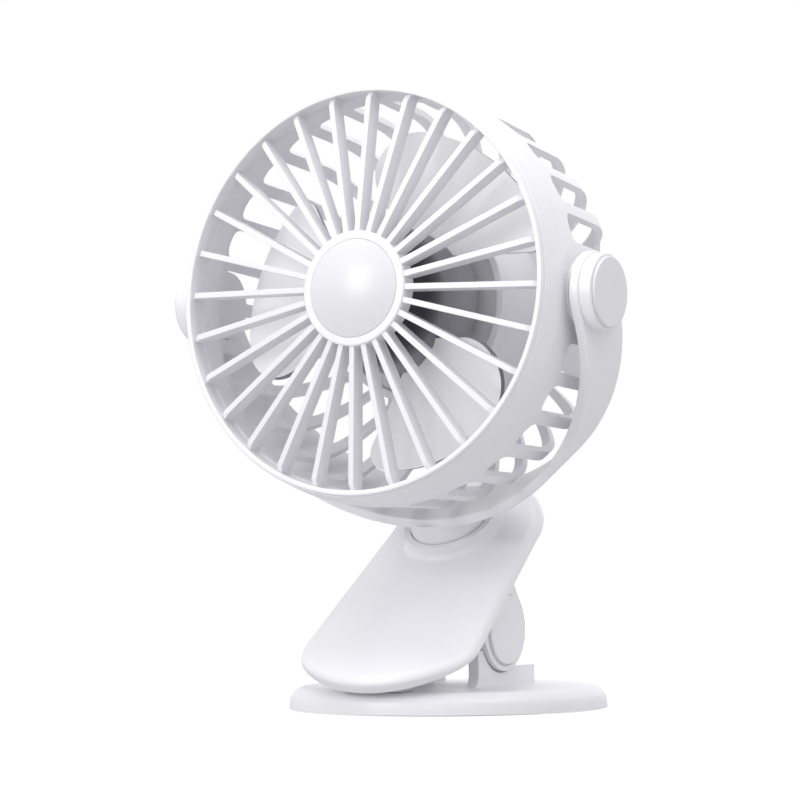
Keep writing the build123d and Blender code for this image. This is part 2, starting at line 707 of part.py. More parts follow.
for side, label in ((-1, "pivot_cap_left"), (1, "pivot_cap_right")):
    with BuildPart() as pivot_cap:
        with BuildSketch(across(side, pivot, collar_x - PIVOT_PLUG_THICK)):
            Circle(PIVOT_BORE_R - SNUG)
        extrude(amount=PIVOT_PLUG_THICK)
        with BuildSketch(across(side, pivot, collar_x)):
            Circle(PIVOT_CAP_R)
        extrude(amount=PIVOT_CAP_THICK)
        rim = pivot_cap.edges().filter_by(GeomType.CIRCLE).sort_by(Axis((0, 0, 0), (side, 0, 0)))[-1]
        fillet(rim, radius=0.4)
    write(pivot_cap, label)

with BuildPart() as neck_washer:
    with BuildSketch(jaw_level(washer_top)):
        with Locations(neck_spot):
            Circle(NECK_WASHER_R)
            Circle(NECK_SCREW_R + SNUG, mode=Mode.SUBTRACT)
    extrude(amount=-NECK_WASHER_THICK)
write(neck_washer, "neck_washer")

with BuildPart() as neck_screw:
    with BuildSketch(jaw_level(washer_top - NECK_WASHER_THICK)):
        with Locations(neck_spot):
            Circle(NECK_SCREW_HEAD_R)
    extrude(amount=-NECK_SCREW_HEAD_THICK)
    with BuildSketch(jaw_level(washer_top - NECK_WASHER_THICK)):
        with Locations(neck_spot):
            Circle(NECK_SCREW_R)
    extrude(amount=NECK_SCREW_LENGTH)
    with BuildSketch(jaw_level(washer_top - NECK_WASHER_THICK - NECK_SCREW_HEAD_THICK)):
        with Locations(neck_spot):
            Rectangle(3.4, 0.7)
            Rectangle(0.7, 3.4)
    extrude(amount=0.7, mode=Mode.SUBTRACT)
write(neck_screw, "neck_screw")


# ================================================================ head
def head_level(z):
    """The plane square to the fan's axis at this z."""
    return head_plane.offset(z)


def head_ray(angle):
    """The plane through the fan's axis whose x runs outwards at this angle and y runs forwards."""
    outwards = head_plane.x_dir * cos(radians(angle)) + head_plane.y_dir * sin(radians(angle))
    return Plane(pivot, x_dir=outwards, z_dir=outwards.cross(head_front))


def head_wall(angle):
    """The plane on the fan's axis that faces outwards at this angle, with y forwards."""
    outwards = head_plane.x_dir * cos(radians(angle)) + head_plane.y_dir * sin(radians(angle))
    return Plane(pivot, x_dir=head_front.cross(outwards), z_dir=outwards)


def closed(*points):
    """The face inside a closed line through these points."""
    with BuildSketch(mode=Mode.PRIVATE) as outline:
        with BuildLine():
            Polyline(*points, close=True)
        make_face()
    return outline.sketch


drum_bore = DRUM_R - DRUM_WALL
spigot_r = drum_bore - 0.05
spigot_bore = spigot_r - 1.6
hub_back = HUB_Z - HUB_DEPTH
rim_r = DRUM_R - RIM_IN
lip_r = DRUM_R - LIP_IN
band_r = DRUM_R - BAND_IN
spoke_angles = [90 + 360 * k / SPOKES for k in range(SPOKES)]

with BuildPart() as front_guard:
    with BuildSketch(head_section):
        profile = closed(
            (rim_r, RIM_Z),
            (lip_r, RIM_Z),
            (lip_r, RIM_Z - LIP_STEP),
            (band_r, RIM_Z - LIP_STEP),
            (DRUM_R, SPLIT_Z),
            (spigot_r, SPLIT_Z),
            (spigot_r, SPLIT_Z - SPIGOT),
            (spigot_bore, SPLIT_Z - SPIGOT),
            (spigot_bore, SPLIT_Z + 3),
            (rim_r, SPLIT_Z + 4),
        )
        add(profile)
    revolve(axis=head_axis)
    with BuildSketch(*[head_ray(angle) for angle in spoke_angles]):
        with BuildLine():
            Polyline(
                (HUB_R - 1, HUB_Z - HUB_SPOKE_DROP),
                (rim_r - 2, RIM_Z - SPOKE_TIP_DROP),
                (rim_r + 0.4, RIM_Z - SPOKE_TIP_DROP - SPOKE_BEND),
                (rim_r + 0.4, RIM_Z - SPOKE_TIP_DROP - SPOKE_DEPTH),
                (HUB_R - 1, hub_back),
                close=True,
            )
        make_face()
    extrude(amount=SPOKE_WIDTH / 2, both=True)
    with BuildSketch(head_level(hub_back)):
        Circle(HUB_R)
    extrude(amount=HUB_DEPTH)
    with BuildSketch(head_level(HUB_Z)):
        Circle(CAP_R + SNUG)
    extrude(amount=-CAP_SEAT, mode=Mode.SUBTRACT)
    with BuildSketch(head_level(hub_back)):
        Circle(HUB_RECESS_R)
    extrude(amount=HUB_RECESS, mode=Mode.SUBTRACT)
write(front_guard, "front_guard")

dome_r = (CAP_R**2 + CAP_CROWN**2) / (2 * CAP_CROWN)

with BuildPart() as centre_cap:
    with BuildSketch(head_section):
        with BuildLine():
            Polyline((0, HUB_Z + CAP_CROWN), (0, HUB_Z - CAP_SEAT), (CAP_R, HUB_Z - CAP_SEAT), (CAP_R, HUB_Z))
            RadiusArc((CAP_R, HUB_Z), (0, HUB_Z + CAP_CROWN), -dome_r)
        make_face()
    revolve(axis=head_axis)
write(centre_cap, "centre_cap")

well_back = WELL_Z - FLOOR
plateau_back = PLATEAU_Z - FLOOR
can_back = plateau_back - CAN_LENGTH
end_cap_back = can_back - END_CAP_THICK
pad_back = end_cap_back - BATTERY_PAD_THICK
battery_back = pad_back - BATTERY[2]
board_front = battery_back - BOARD_GAP
board_back = board_front - BOARD_THICK
cover_back = CUP_REAR_Z - COVER_PLATE
hub_screw_ring = [polar(HUB_SCREW_CIRCLE, 90 + 360 * k / HUB_SCREWS) for k in range(HUB_SCREWS)]
motor_screw_ring = [(-MOTOR_SCREW_CIRCLE, 0), (MOTOR_SCREW_CIRCLE, 0)]
socket_z = board_back - SOCKET[2] / 2
drum_tail_r = DRUM_R - DRUM_TAPER
vent_half = VENT_ARC / 2
vent_width = 2 * DRUM_R * tan(radians(vent_half))
vent_reach = VENT_CORNER_R - CUP_REAR_Z
pad_x = DRUM_R + PIVOT_PAD_RISE


def vent_angle(k):
    """Angle of the middle of a vent, counted clockwise from the top."""
    return 90 - 360 * k / VENTS


def bowl_points(inset):
    """Points of the bowl's section, from the drum's tail to the flat rear, set in by this much."""
    return [
        (drum_tail_r - inset, DRUM_TAIL_Z),
        (DRUM_R - BOWL_SIDE[0] - inset * 0.91, DRUM_TAIL_Z - BOWL_SIDE[1] + inset * 0.42),
        (DRUM_R - BOWL_TURN[0] - inset * 0.62, DRUM_TAIL_Z - BOWL_TURN[1] + inset * 0.78),
        (DRUM_R - BOWL_REAR[0] - inset * 0.4, DRUM_TAIL_Z - BOWL_REAR[1] + inset * 0.92),
        (BOWL_FLAT_R, BOWL_REAR_Z + inset),
    ]


def vent(inner_r):
    """The cutter for one vent, pointing along the fan's x axis, open behind and outside."""
    with BuildPart(mode=Mode.PRIVATE) as cutter:
        with BuildSketch(head_level(CUP_REAR_Z)) as wedge:
            with BuildLine():
                Polyline(
                    polar(inner_r, -vent_half),
                    polar(DRUM_R + 5, -vent_half),
                    polar(DRUM_R + 5, vent_half),
                    polar(inner_r, vent_half),
                    close=True,
                )
            make_face()
            fillet(wedge.vertices().sort_by_distance((0, 0))[:2], VENT_INNER_CORNER_R)
        extrude(amount=VENT_FRONT_Z - CUP_REAR_Z)
        with BuildSketch(head_wall(0)):
            with Locations((0, (VENT_FRONT_Z - vent_reach) / 2)):
                RectangleRounded(vent_width, VENT_FRONT_Z + vent_reach, VENT_CORNER_R)
        extrude(amount=DRUM_R + 5, mode=Mode.INTERSECT)
    return cutter.part


long_vent = vent(VENT_INNER_R)
short_vent = vent(SHORT_VENT_R)

with BuildPart() as vent_cuts:
    for k in range(VENTS):
        add((short_vent if k in SHORT_VENTS else long_vent).rotate(head_axis, vent_angle(k)))
    with BuildSketch(Plane(pivot, x_dir=head_front, z_dir=(1, 0, 0))):
        Circle(VENT_DISC_R)
    extrude(amount=2 * DRUM_R, both=True, mode=Mode.SUBTRACT)

with BuildPart() as rear_housing:
    with BuildSketch(head_section):
        outer = bowl_points(0)
        inner = bowl_points(BOWL_WALL)
        with BuildLine():
            Polyline((drum_bore, SPLIT_Z), (DRUM_R, SPLIT_Z), (DRUM_R, DRUM_STRAIGHT_Z), outer[0])
            ThreePointArc(*outer[0:3])
            ThreePointArc(*outer[2:5])
            Polyline(
                outer[4],
                (CUP_R, BOWL_REAR_Z),
                (CUP_R, CUP_REAR_Z),
                (CUP_R - CUP_WALL, CUP_REAR_Z),
                (CUP_R - CUP_WALL, well_back),
                (CAN_R + SNUG + FLOOR, well_back),
                (CAN_R + SNUG + FLOOR, can_back + 1),
                (CAN_R + SNUG, can_back + 1),
                (CAN_R + SNUG, plateau_back),
                (BUSHING_R + SNUG, plateau_back),
                (BUSHING_R + SNUG, PLATEAU_Z),
                (PLATEAU_R, PLATEAU_Z),
                (PLATEAU_R, WELL_Z),
                (CUP_R - WELL_LIP, WELL_Z),
                (CUP_R - WELL_LIP, CUP_FRONT_Z),
                (CUP_R, CUP_FRONT_Z),
                (CUP_R, BOWL_REAR_Z + BOWL_WALL),
                inner[4],
            )
            ThreePointArc(*inner[4:1:-1])
            ThreePointArc(*inner[2::-1])
            Polyline(inner[0], (drum_bore, DRUM_STRAIGHT_Z), (drum_bore, SPLIT_Z))
        make_face()
    revolve(axis=head_axis)
    # slots of the cage: each runs back along the drum and inwards over the bowl
    add(vent_cuts.part, mode=Mode.SUBTRACT)
    for side in (-1, 1):
        # flat pad and screw hole of a tilt pivot
        with BuildSketch(across(side, pivot, pad_x)):
            Circle(PIVOT_PAD_R)
        extrude(amount=-PIVOT_PAD_RISE - 1.1)
        with BuildSketch(across(side, pivot, pad_x)):
            Circle(PIVOT_THREAD_R + SNUG)
        extrude(amount=-PIVOT_THREAD_LENGTH, mode=Mode.SUBTRACT)
    # bosses of the hub, stepped to carry the board
    with BuildSketch(head_level(well_back)):
        with Locations(*hub_screw_ring):
            Circle(HUB_BOSS_R)
    extrude(amount=board_front - well_back)
    with BuildSketch(head_level(board_front)):
        with Locations(*hub_screw_ring):
            Circle(HUB_PEG_R)
    extrude(amount=CUP_REAR_Z - board_front)
    with BuildSketch(head_level(CUP_REAR_Z)):
        with Locations(*hub_screw_ring):
            Circle(HUB_SCREW_R + SNUG)
    extrude(amount=HUB_SCREW_LENGTH, mode=Mode.SUBTRACT)
    with BuildSketch(head_level(PLATEAU_Z)):
        with Locations(*motor_screw_ring):
            Circle(MOTOR_SCREW_R + SNUG)
    extrude(amount=-FLOOR, mode=Mode.SUBTRACT)
    with BuildSketch(head_wall(-90).offset(CUP_R - CUP_WALL - 1)):
        with Locations((0, socket_z)):
            SlotOverall(SOCKET[0] + 2 * SOCKET_GAP, SOCKET[2] + 2 * SOCKET_GAP)
    extrude(amount=CUP_WALL + 2, mode=Mode.SUBTRACT)
write(rear_housing, "rear_housing")

lens_spot = (0, -LENS_OUT)

with BuildPart() as rear_cover:
    with BuildSketch(head_level(CUP_REAR_Z)):
        Circle(CUP_R)
    extrude(amount=-COVER_PLATE)
    back_face = rear_cover.faces().sort_by(head_axis)[0]
    fillet(back_face.edges(), radius=0.8)
    with BuildSketch(head_level(CUP_REAR_Z)):
        Circle(CUP_R - CUP_WALL - 0.1)
        Circle(CUP_R - CUP_WALL - 0.1 - COVER_LIP_WALL, mode=Mode.SUBTRACT)
    extrude(amount=COVER_LIP)
    with BuildSketch(head_level(cover_back)):
        Circle(BUTTON_R + SKIN_GAP)
        with Locations(lens_spot):
            Circle(LENS_R + SNUG)
        with Locations(*hub_screw_ring):
            Circle(HUB_SCREW_R + SNUG)
    extrude(amount=COVER_PLATE, mode=Mode.SUBTRACT)
    with BuildSketch(head_level(cover_back)):
        with Locations(*hub_screw_ring):
            Circle(HUB_SCREW_HEAD_R + 0.1)
    extrude(amount=HUB_SCREW_HEAD_THICK + 0.1, mode=Mode.SUBTRACT)
write(rear_cover, "rear_cover")

hub_head_seat = cover_back + HUB_SCREW_HEAD_THICK + 0.1

with BuildPart() as rear_cover_screws:
    with BuildSketch(head_level(hub_head_seat)):
        with Locations(*hub_screw_ring):
            Circle(HUB_SCREW_HEAD_R)
    extrude(amount=-HUB_SCREW_HEAD_THICK)
    with BuildSketch(head_level(hub_head_seat)):
        with Locations(*hub_screw_ring):
            Circle(HUB_SCREW_R)
    extrude(amount=HUB_SCREW_LENGTH)
    with BuildSketch(head_level(hub_head_seat - HUB_SCREW_HEAD_THICK)):
        with Locations(*hub_screw_ring):
            Rectangle(2.4, 0.5)
            Rectangle(0.5, 2.4)
    extrude(amount=0.6, mode=Mode.SUBTRACT)
write(rear_cover_screws, "rear_cover_screws")

# ---------------------------------------------------------------- motor
can_bore = CAN_R - CAN_WALL

with BuildPart() as motor_can:
    with BuildSketch(head_section):
        profile = closed(
            (CAN_R, can_back),
            (CAN_R, plateau_back),
            (BUSHING_R + SNUG, plateau_back),
            (BUSHING_R + SNUG, plateau_back - CAN_WALL),
            (can_bore, plateau_back - CAN_WALL),
            (can_bore, can_back),
        )
        add(profile)
    revolve(axis=head_axis)
    with BuildSketch(head_level(plateau_back)):
        with Locations(*motor_screw_ring):
            Circle(MOTOR_SCREW_R + SNUG)
    extrude(amount=-CAN_WALL, mode=Mode.SUBTRACT)
write(motor_can, "motor_can")

with BuildPart() as motor_end_cap:
    with BuildSketch(head_level(can_back)):
        Circle(CAN_R)
    extrude(amount=-END_CAP_THICK)
    with BuildSketch(head_level(can_back)):
        Circle(SHAFT_R + RUN)
    extrude(amount=-END_CAP_THICK / 2, mode=Mode.SUBTRACT)
write(motor_end_cap, "motor_end_cap")

with BuildPart() as motor_bushing:
    with BuildSketch(head_section):
        profile = closed(
            (SHAFT_R + RUN, PLATEAU_Z + 0.5),
            (BUSHING_R, PLATEAU_Z + 0.5),
            (BUSHING_R, plateau_back - CAN_WALL),
            (SHAFT_R + RUN, plateau_back - CAN_WALL),
        )
        add(profile)
    revolve(axis=head_axis)
write(motor_bushing, "motor_bushing")

with BuildPart() as motor_magnets:
    with BuildSketch(head_level(can_back + 1.5)):
        Circle(can_bore - SNUG)
        Circle(MAGNET_IN_R, mode=Mode.SUBTRACT)
        wedge = 90 - MAGNET_ARC / 2
        with BuildLine():
            Polyline((0, 0), polar(2 * CAN_R, -wedge), polar(2 * CAN_R, wedge), close=True)
        make_face(mode=Mode.SUBTRACT)
        with BuildLine():
            Polyline((0, 0), polar(2 * CAN_R, 180 - wedge), polar(2 * CAN_R, 180 + wedge), close=True)
        make_face(mode=Mode.SUBTRACT)
    extrude(amount=CAN_LENGTH - 4)
write(motor_magnets, "motor_magnets")

with BuildPart() as motor_screws:
    with BuildSketch(head_level(PLATEAU_Z)):
        with Locations(*motor_screw_ring):
            Circle(MOTOR_SCREW_HEAD_R)
    extrude(amount=1)
    with BuildSketch(head_level(PLATEAU_Z)):
        with Locations(*motor_screw_ring):
            Circle(MOTOR_SCREW_R)
    extrude(amount=-FLOOR - 2 * CAN_WALL)
    with BuildSketch(head_level(PLATEAU_Z + 1)):
        with Locations(*motor_screw_ring):
            Rectangle(2.2, 0.5)
            Rectangle(0.5, 2.2)
    extrude(amount=-0.5, mode=Mode.SUBTRACT)
write(motor_screws, "motor_screws")

rotor_back = can_back + 2
rotor_front = plateau_back - CAN_WALL - 2
shaft_front_z = FAN_HUB_FRONT_Z - 2

with BuildPart() as motor_shaft:
    with BuildSketch(head_level(can_back - END_CAP_THICK / 2 + FACE_GAP)):
        Circle(SHAFT_R)
    extrude(amount=shaft_front_z - can_back + END_CAP_THICK / 2 - FACE_GAP)
write(motor_shaft, "motor_shaft")

with BuildPart() as motor_rotor:
    with BuildSketch(head_level(rotor_back)):
        Circle(ROTOR_R)
        with PolarLocations(ROTOR_R, 3, start_angle=90):
            Rectangle(2 * ROTOR_R * 0.55, 1.2, mode=Mode.SUBTRACT)
        Circle(SHAFT_R + SNUG, mode=Mode.SUBTRACT)
    extrude(amount=rotor_front - rotor_back)
write(motor_rotor, "motor_rotor")

# ---------------------------------------------------------------- impeller
fan_hub_front_r = FAN_HUB_R - FAN_HUB_TAPER
blade_root_r = fan_hub_front_r - 1

with BuildPart() as blade:
    for radius, pitch in ((blade_root_r - 1, BLADE_ROOT_PITCH), (FAN_R + 1, BLADE_TIP_PITCH)):
        with BuildSketch(head_wall(BLADE_START).offset(radius)):
            with Locations(Location((0, BLADE_MID_Z), (0, 0, pitch))):
                Rectangle(2 * radius, BLADE_THICK)
    loft()
    with BuildSketch(head_level(BLADE_MID_Z - BLADE_SLAB)) as petal:
        tips = [polar(FAN_R, BLADE_START + way * BLADE_TIP_SPAN / 2) for way in (-1, 1)]
        roots = [polar(blade_root_r, BLADE_START + way * BLADE_ROOT_SPAN / 2) for way in (-1, 1)]
        with BuildLine():
            ThreePointArc(tips[0], polar(FAN_R, BLADE_START), tips[1])
            Line(tips[1], roots[1])
            ThreePointArc(roots[1], polar(blade_root_r, BLADE_START), roots[0])
            Line(roots[0], tips[0])
        make_face()
        for tip, corner_r in zip(tips, (BLADE_TAIL_R, BLADE_LEAD_R)):
            fillet(petal.vertices().sort_by_distance(tip)[0], radius=corner_r)
    extrude(amount=2 * BLADE_SLAB, mode=Mode.INTERSECT)

with BuildPart() as impeller:
    with BuildSketch(head_section):
        profile = closed(
            (0, FAN_HUB_FRONT_Z),
            (fan_hub_front_r - FAN_HUB_EDGE, FAN_HUB_FRONT_Z),
            (fan_hub_front_r, FAN_HUB_FRONT_Z - FAN_HUB_EDGE),
            (FAN_HUB_R, FAN_HUB_REAR_Z),
            (FAN_HUB_R - FAN_HUB_WALL, FAN_HUB_REAR_Z),
            (fan_hub_front_r - FAN_HUB_WALL, FAN_HUB_FRONT_Z - FAN_HUB_WALL),
            (FAN_BOSS_R, FAN_HUB_FRONT_Z - FAN_HUB_WALL),
            (FAN_BOSS_R, FAN_HUB_REAR_Z + 1),
            (SHAFT_R + SNUG, FAN_HUB_REAR_Z + 1),
            (SHAFT_R + SNUG, shaft_front_z + FACE_GAP),
            (0, shaft_front_z + FACE_GAP),
        )
        add(profile)
    revolve(axis=head_axis)
    for k in range(BLADES):
        add(blade.part.rotate(head_axis, 360 * k / BLADES))
write(impeller, "impeller")

# ---------------------------------------------------------------- battery, board, socket and button
with BuildPart() as battery_pad:
    with BuildSketch(head_level(end_cap_back)):
        Rectangle(0.55 * BATTERY[0], 0.55 * BATTERY[1])
    extrude(amount=-BATTERY_PAD_THICK)
write(battery_pad, "battery_pad")

with BuildPart() as battery_cell:
    with BuildSketch(head_level(pad_back)):
        Rectangle(BATTERY[0], BATTERY[1])
    extrude(amount=-BATTERY[2])
    fillet(battery_cell.edges(), radius=0.9)
write(battery_cell, "battery_cell")

with BuildPart() as control_board:
    with BuildSketch(head_level(board_front)):
        Circle(BOARD_R)
        with Locations(*hub_screw_ring):
            Circle(HUB_PEG_R + SNUG, mode=Mode.SUBTRACT)
    extrude(amount=-BOARD_THICK)
write(control_board, "control_board")

socket_mouth = head_wall(-90).offset(CUP_R - 0.6)

with BuildPart() as usb_socket:
    with BuildSketch(socket_mouth):
        with Locations((0, socket_z)):
            SlotOverall(SOCKET[0], SOCKET[2])
    extrude(amount=-SOCKET[1])
    with BuildSketch(socket_mouth):
        with Locations((0, socket_z)):
            SlotOverall(SOCKET[0] - 2 * SOCKET_SHELL, SOCKET[2] - 2 * SOCKET_SHELL)
            Rectangle(0.75 * SOCKET[0], 0.7, mode=Mode.SUBTRACT)
    extrude(amount=-SOCKET[1] + 1, mode=Mode.SUBTRACT)
    with BuildSketch(socket_mouth):
        with Locations((0, socket_z)):
            Rectangle(0.8 * SOCKET[0], 1)
    extrude(amount=-0.7, mode=Mode.SUBTRACT)
write(usb_socket, "usb_socket")

plunger_z = board_back - SWITCH_HEIGHT

with BuildPart() as push_switch:
    with BuildSketch(head_level(board_back)):
        Rectangle(SWITCH_SIDE, SWITCH_SIDE)
    extrude(amount=PLUNGER - SWITCH_HEIGHT)
    with BuildSketch(head_level(board_back)):
        Circle(BUTTON_POST_R)
    extrude(amount=-SWITCH_HEIGHT)
write(push_switch, "push_switch")

button_back = cover_back - BUTTON_PROUD
flange_back = CUP_REAR_Z + FACE_GAP
flange_front = flange_back + BUTTON_FLANGE_THICK

with BuildPart() as power_button:
    with BuildSketch(head_section):
        profile = closed(
            (0, button_back),
            (BUTTON_R - 0.5, button_back),
            (BUTTON_R, button_back + 0.5),
            (BUTTON_R, flange_back),
            (BUTTON_FLANGE_R, flange_back),
            (BUTTON_FLANGE_R, flange_front),
            (BUTTON_POST_R, flange_front),
            (BUTTON_POST_R, plunger_z - BUTTON_TRAVEL - FACE_GAP),
            (0, plunger_z - BUTTON_TRAVEL - FACE_GAP),
        )
        add(profile)
    revolve(axis=head_axis)
write(power_button, "power_button")

with BuildPart() as led_light_pipe:
    with BuildSketch(head_level(cover_back)):
        with Locations(lens_spot):
            Circle(LENS_R)
    extrude(amount=board_back - cover_back - 0.3)
    with BuildSketch(head_level(CUP_REAR_Z)):
        with Locations(lens_spot):
            Circle(LENS_R + 0.6)
    extrude(amount=0.6)
write(led_light_pipe, "led_light_pipe")

# ---------------------------------------------------------------- tilt pivots
with BuildPart() as pivot_washers:
    for side in (-1, 1):
        with BuildSketch(across(side, pivot, pad_x)):
            Circle(PIVOT_WASHER_R)
            Circle(SHOULDER_R + SNUG, mode=Mode.SUBTRACT)
        extrude(amount=yoke_inner_r - FACE_GAP - pad_x)
write(pivot_washers, "pivot_washers")

with BuildPart() as pivot_screws:
    for side in (-1, 1):
        with BuildSketch(across(side, pivot, pad_x)):
            Circle(SHOULDER_R)
        extrude(amount=screw_head_x - pad_x)
        with BuildSketch(across(side, pivot, pad_x)):
            Circle(PIVOT_THREAD_R)
        extrude(amount=0.4 - PIVOT_THREAD_LENGTH)
        with BuildSketch(across(side, pivot, screw_head_x)):
            Circle(PIVOT_HEAD_R)
        extrude(amount=PIVOT_HEAD_THICK)
        with BuildSketch(across(side, pivot, screw_head_x + PIVOT_HEAD_THICK)):
            Rectangle(5, 0.9)
            Rectangle(0.9, 5)
        extrude(amount=-0.9, mode=Mode.SUBTRACT)
write(pivot_screws, "pivot_screws")
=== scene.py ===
"""A small white clip fan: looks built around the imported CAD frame, in metres."""

import json
import math

import bmesh
import bpy
from mathutils import Matrix, Vector


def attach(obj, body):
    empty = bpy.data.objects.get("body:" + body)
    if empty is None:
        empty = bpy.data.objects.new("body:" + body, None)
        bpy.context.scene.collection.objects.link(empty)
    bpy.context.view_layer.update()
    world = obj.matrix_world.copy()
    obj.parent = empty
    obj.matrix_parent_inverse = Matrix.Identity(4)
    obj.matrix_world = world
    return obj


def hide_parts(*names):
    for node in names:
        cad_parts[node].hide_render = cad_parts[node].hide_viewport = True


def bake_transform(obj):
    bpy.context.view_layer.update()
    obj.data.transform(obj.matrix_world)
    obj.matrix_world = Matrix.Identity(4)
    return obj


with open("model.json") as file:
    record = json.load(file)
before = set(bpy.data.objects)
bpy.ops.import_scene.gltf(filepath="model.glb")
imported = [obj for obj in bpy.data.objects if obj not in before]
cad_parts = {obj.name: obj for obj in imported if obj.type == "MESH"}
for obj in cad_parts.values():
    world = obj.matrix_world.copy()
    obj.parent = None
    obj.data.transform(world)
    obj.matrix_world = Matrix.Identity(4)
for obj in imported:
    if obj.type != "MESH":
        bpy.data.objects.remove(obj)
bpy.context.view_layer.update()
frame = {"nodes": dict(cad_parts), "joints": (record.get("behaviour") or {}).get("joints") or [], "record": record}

# ---------------------------------------------------------------- places taken from the frame
MM = 0.001
joints = {joint["name"]: joint for joint in frame["joints"]}
PIVOT = Vector(joints["head_tilt"]["pos_m"])
FAN_FRONT = Vector(joints["impeller_spin"]["axis"])
SIDE = Vector((1, 0, 0))


def local_frame(origin, z_axis, x_axis=SIDE):
    """The matrix of a frame at origin with this z and its x along x_axis."""
    z_axis = z_axis.normalized()
    axes = Matrix((x_axis, z_axis.cross(x_axis), z_axis)).transposed()
    return Matrix.Translation(origin) @ axes.to_4x4()


def add_object(name, data):
    """A new object with this data, in the scene."""
    item = bpy.data.objects.new(name, data)
    bpy.context.scene.collection.objects.link(item)
    return item


HEAD = local_frame(PIVOT, FAN_FRONT)


# ---------------------------------------------------------------- camera, fitted to the photograph
CAMERA_PLACE = Vector((0.60017, -1.04849, 0.06667))
CAMERA_TURN = 0.5315
CAMERA_DIP = -0.0225
CAMERA_ROLL = 0.0073
FOCAL_PIXELS = 3964.0
FRAME_PIXELS = 800.0
SENSOR = 36.0
CLIP_START, CLIP_END = 0.05, 30.0


def make_camera():
    """The camera, turned, dipped and rolled by the fitted angles."""
    data = bpy.data.cameras.new("camera")
    data.sensor_width = SENSOR
    data.lens = FOCAL_PIXELS / FRAME_PIXELS * SENSOR
    data.clip_start = CLIP_START
    data.clip_end = CLIP_END
    camera = add_object("camera", data)
    forward = Vector(
        (
            -math.sin(CAMERA_TURN) * math.cos(CAMERA_DIP),
            math.cos(CAMERA_TURN) * math.cos(CAMERA_DIP),
            -math.sin(CAMERA_DIP),
        )
    )
    level = Vector((math.cos(CAMERA_TURN), math.sin(CAMERA_TURN), 0.0))
    down = forward.cross(level)
    right = level * math.cos(CAMERA_ROLL) + down * math.sin(CAMERA_ROLL)
    up = forward.cross(right) * -1.0
    axes = Matrix((right, up, forward * -1.0)).transposed()
    camera.matrix_world = Matrix.Translation(CAMERA_PLACE) @ axes.to_4x4()
    bpy.context.scene.camera = camera


# ---------------------------------------------------------------- materials
GRAIN = 0.00035          # size of the moulded grain, in metres
GRAIN_STRENGTH = 0.5
FLOW_SCALE = 28.0        # flow marks in the colour
FLOW_BAND = (0.35, 0.65)
GLOSS_SCALE = 60.0       # uneven gloss
GLOSS_SPREAD = 0.12


def shader(name, **values):
    """A new material and its node tree with the Principled shader's plain values set."""
    material = bpy.data.materials.new(name)
    material.use_nodes = True
    tree = material.node_tree
    body = tree.nodes["Principled BSDF"]
    for socket, value in values.items():
        body.inputs[socket.replace("_", " ")].default_value = value
    return material, tree, body


def moulded(name, colour, roughness, depth=0.00002, tint=0.03, **values):
    """Moulded plastic: soft flow marks in the colour, uneven gloss and a fine moulded grain."""
    material, tree, body = shader(name, **values)
    place = tree.nodes.new("ShaderNodeTexCoord")

    def noise(scale, detail):
        node = tree.nodes.new("ShaderNodeTexNoise")
        node.inputs["Scale"].default_value = scale
        node.inputs["Detail"].default_value = detail
        tree.links.new(place.outputs["Object"], node.inputs["Vector"])
        return node.outputs["Fac"]

    flow = tree.nodes.new("ShaderNodeMapRange")
    flow.inputs["From Min"].default_value = FLOW_BAND[0]
    flow.inputs["From Max"].default_value = FLOW_BAND[1]
    tree.links.new(noise(FLOW_SCALE, 2.0), flow.inputs["Value"])
    mix = tree.nodes.new("ShaderNodeMix")
    mix.data_type = "RGBA"
    mix.inputs["A"].default_value = (*[c * (1 - tint) for c in colour], 1)
    mix.inputs["B"].default_value = (*colour, 1)
    tree.links.new(flow.outputs["Result"], mix.inputs["Factor"])
    tree.links.new(mix.outputs["Result"], body.inputs["Base Color"])

    gloss = tree.nodes.new("ShaderNodeMapRange")
    gloss.inputs["To Min"].default_value = roughness * (1 - GLOSS_SPREAD)
    gloss.inputs["To Max"].default_value = roughness * (1 + GLOSS_SPREAD)
    tree.links.new(noise(GLOSS_SCALE, 4.0), gloss.inputs["Value"])
    tree.links.new(gloss.outputs["Result"], body.inputs["Roughness"])

    bump = tree.nodes.new("ShaderNodeBump")
    bump.inputs["Strength"].default_value = GRAIN_STRENGTH
    bump.inputs["Distance"].default_value = depth
    tree.links.new(noise(1.0 / GRAIN, 3.0), bump.inputs["Height"])
    tree.links.new(bump.outputs["Normal"], body.inputs["Normal"])
    return material


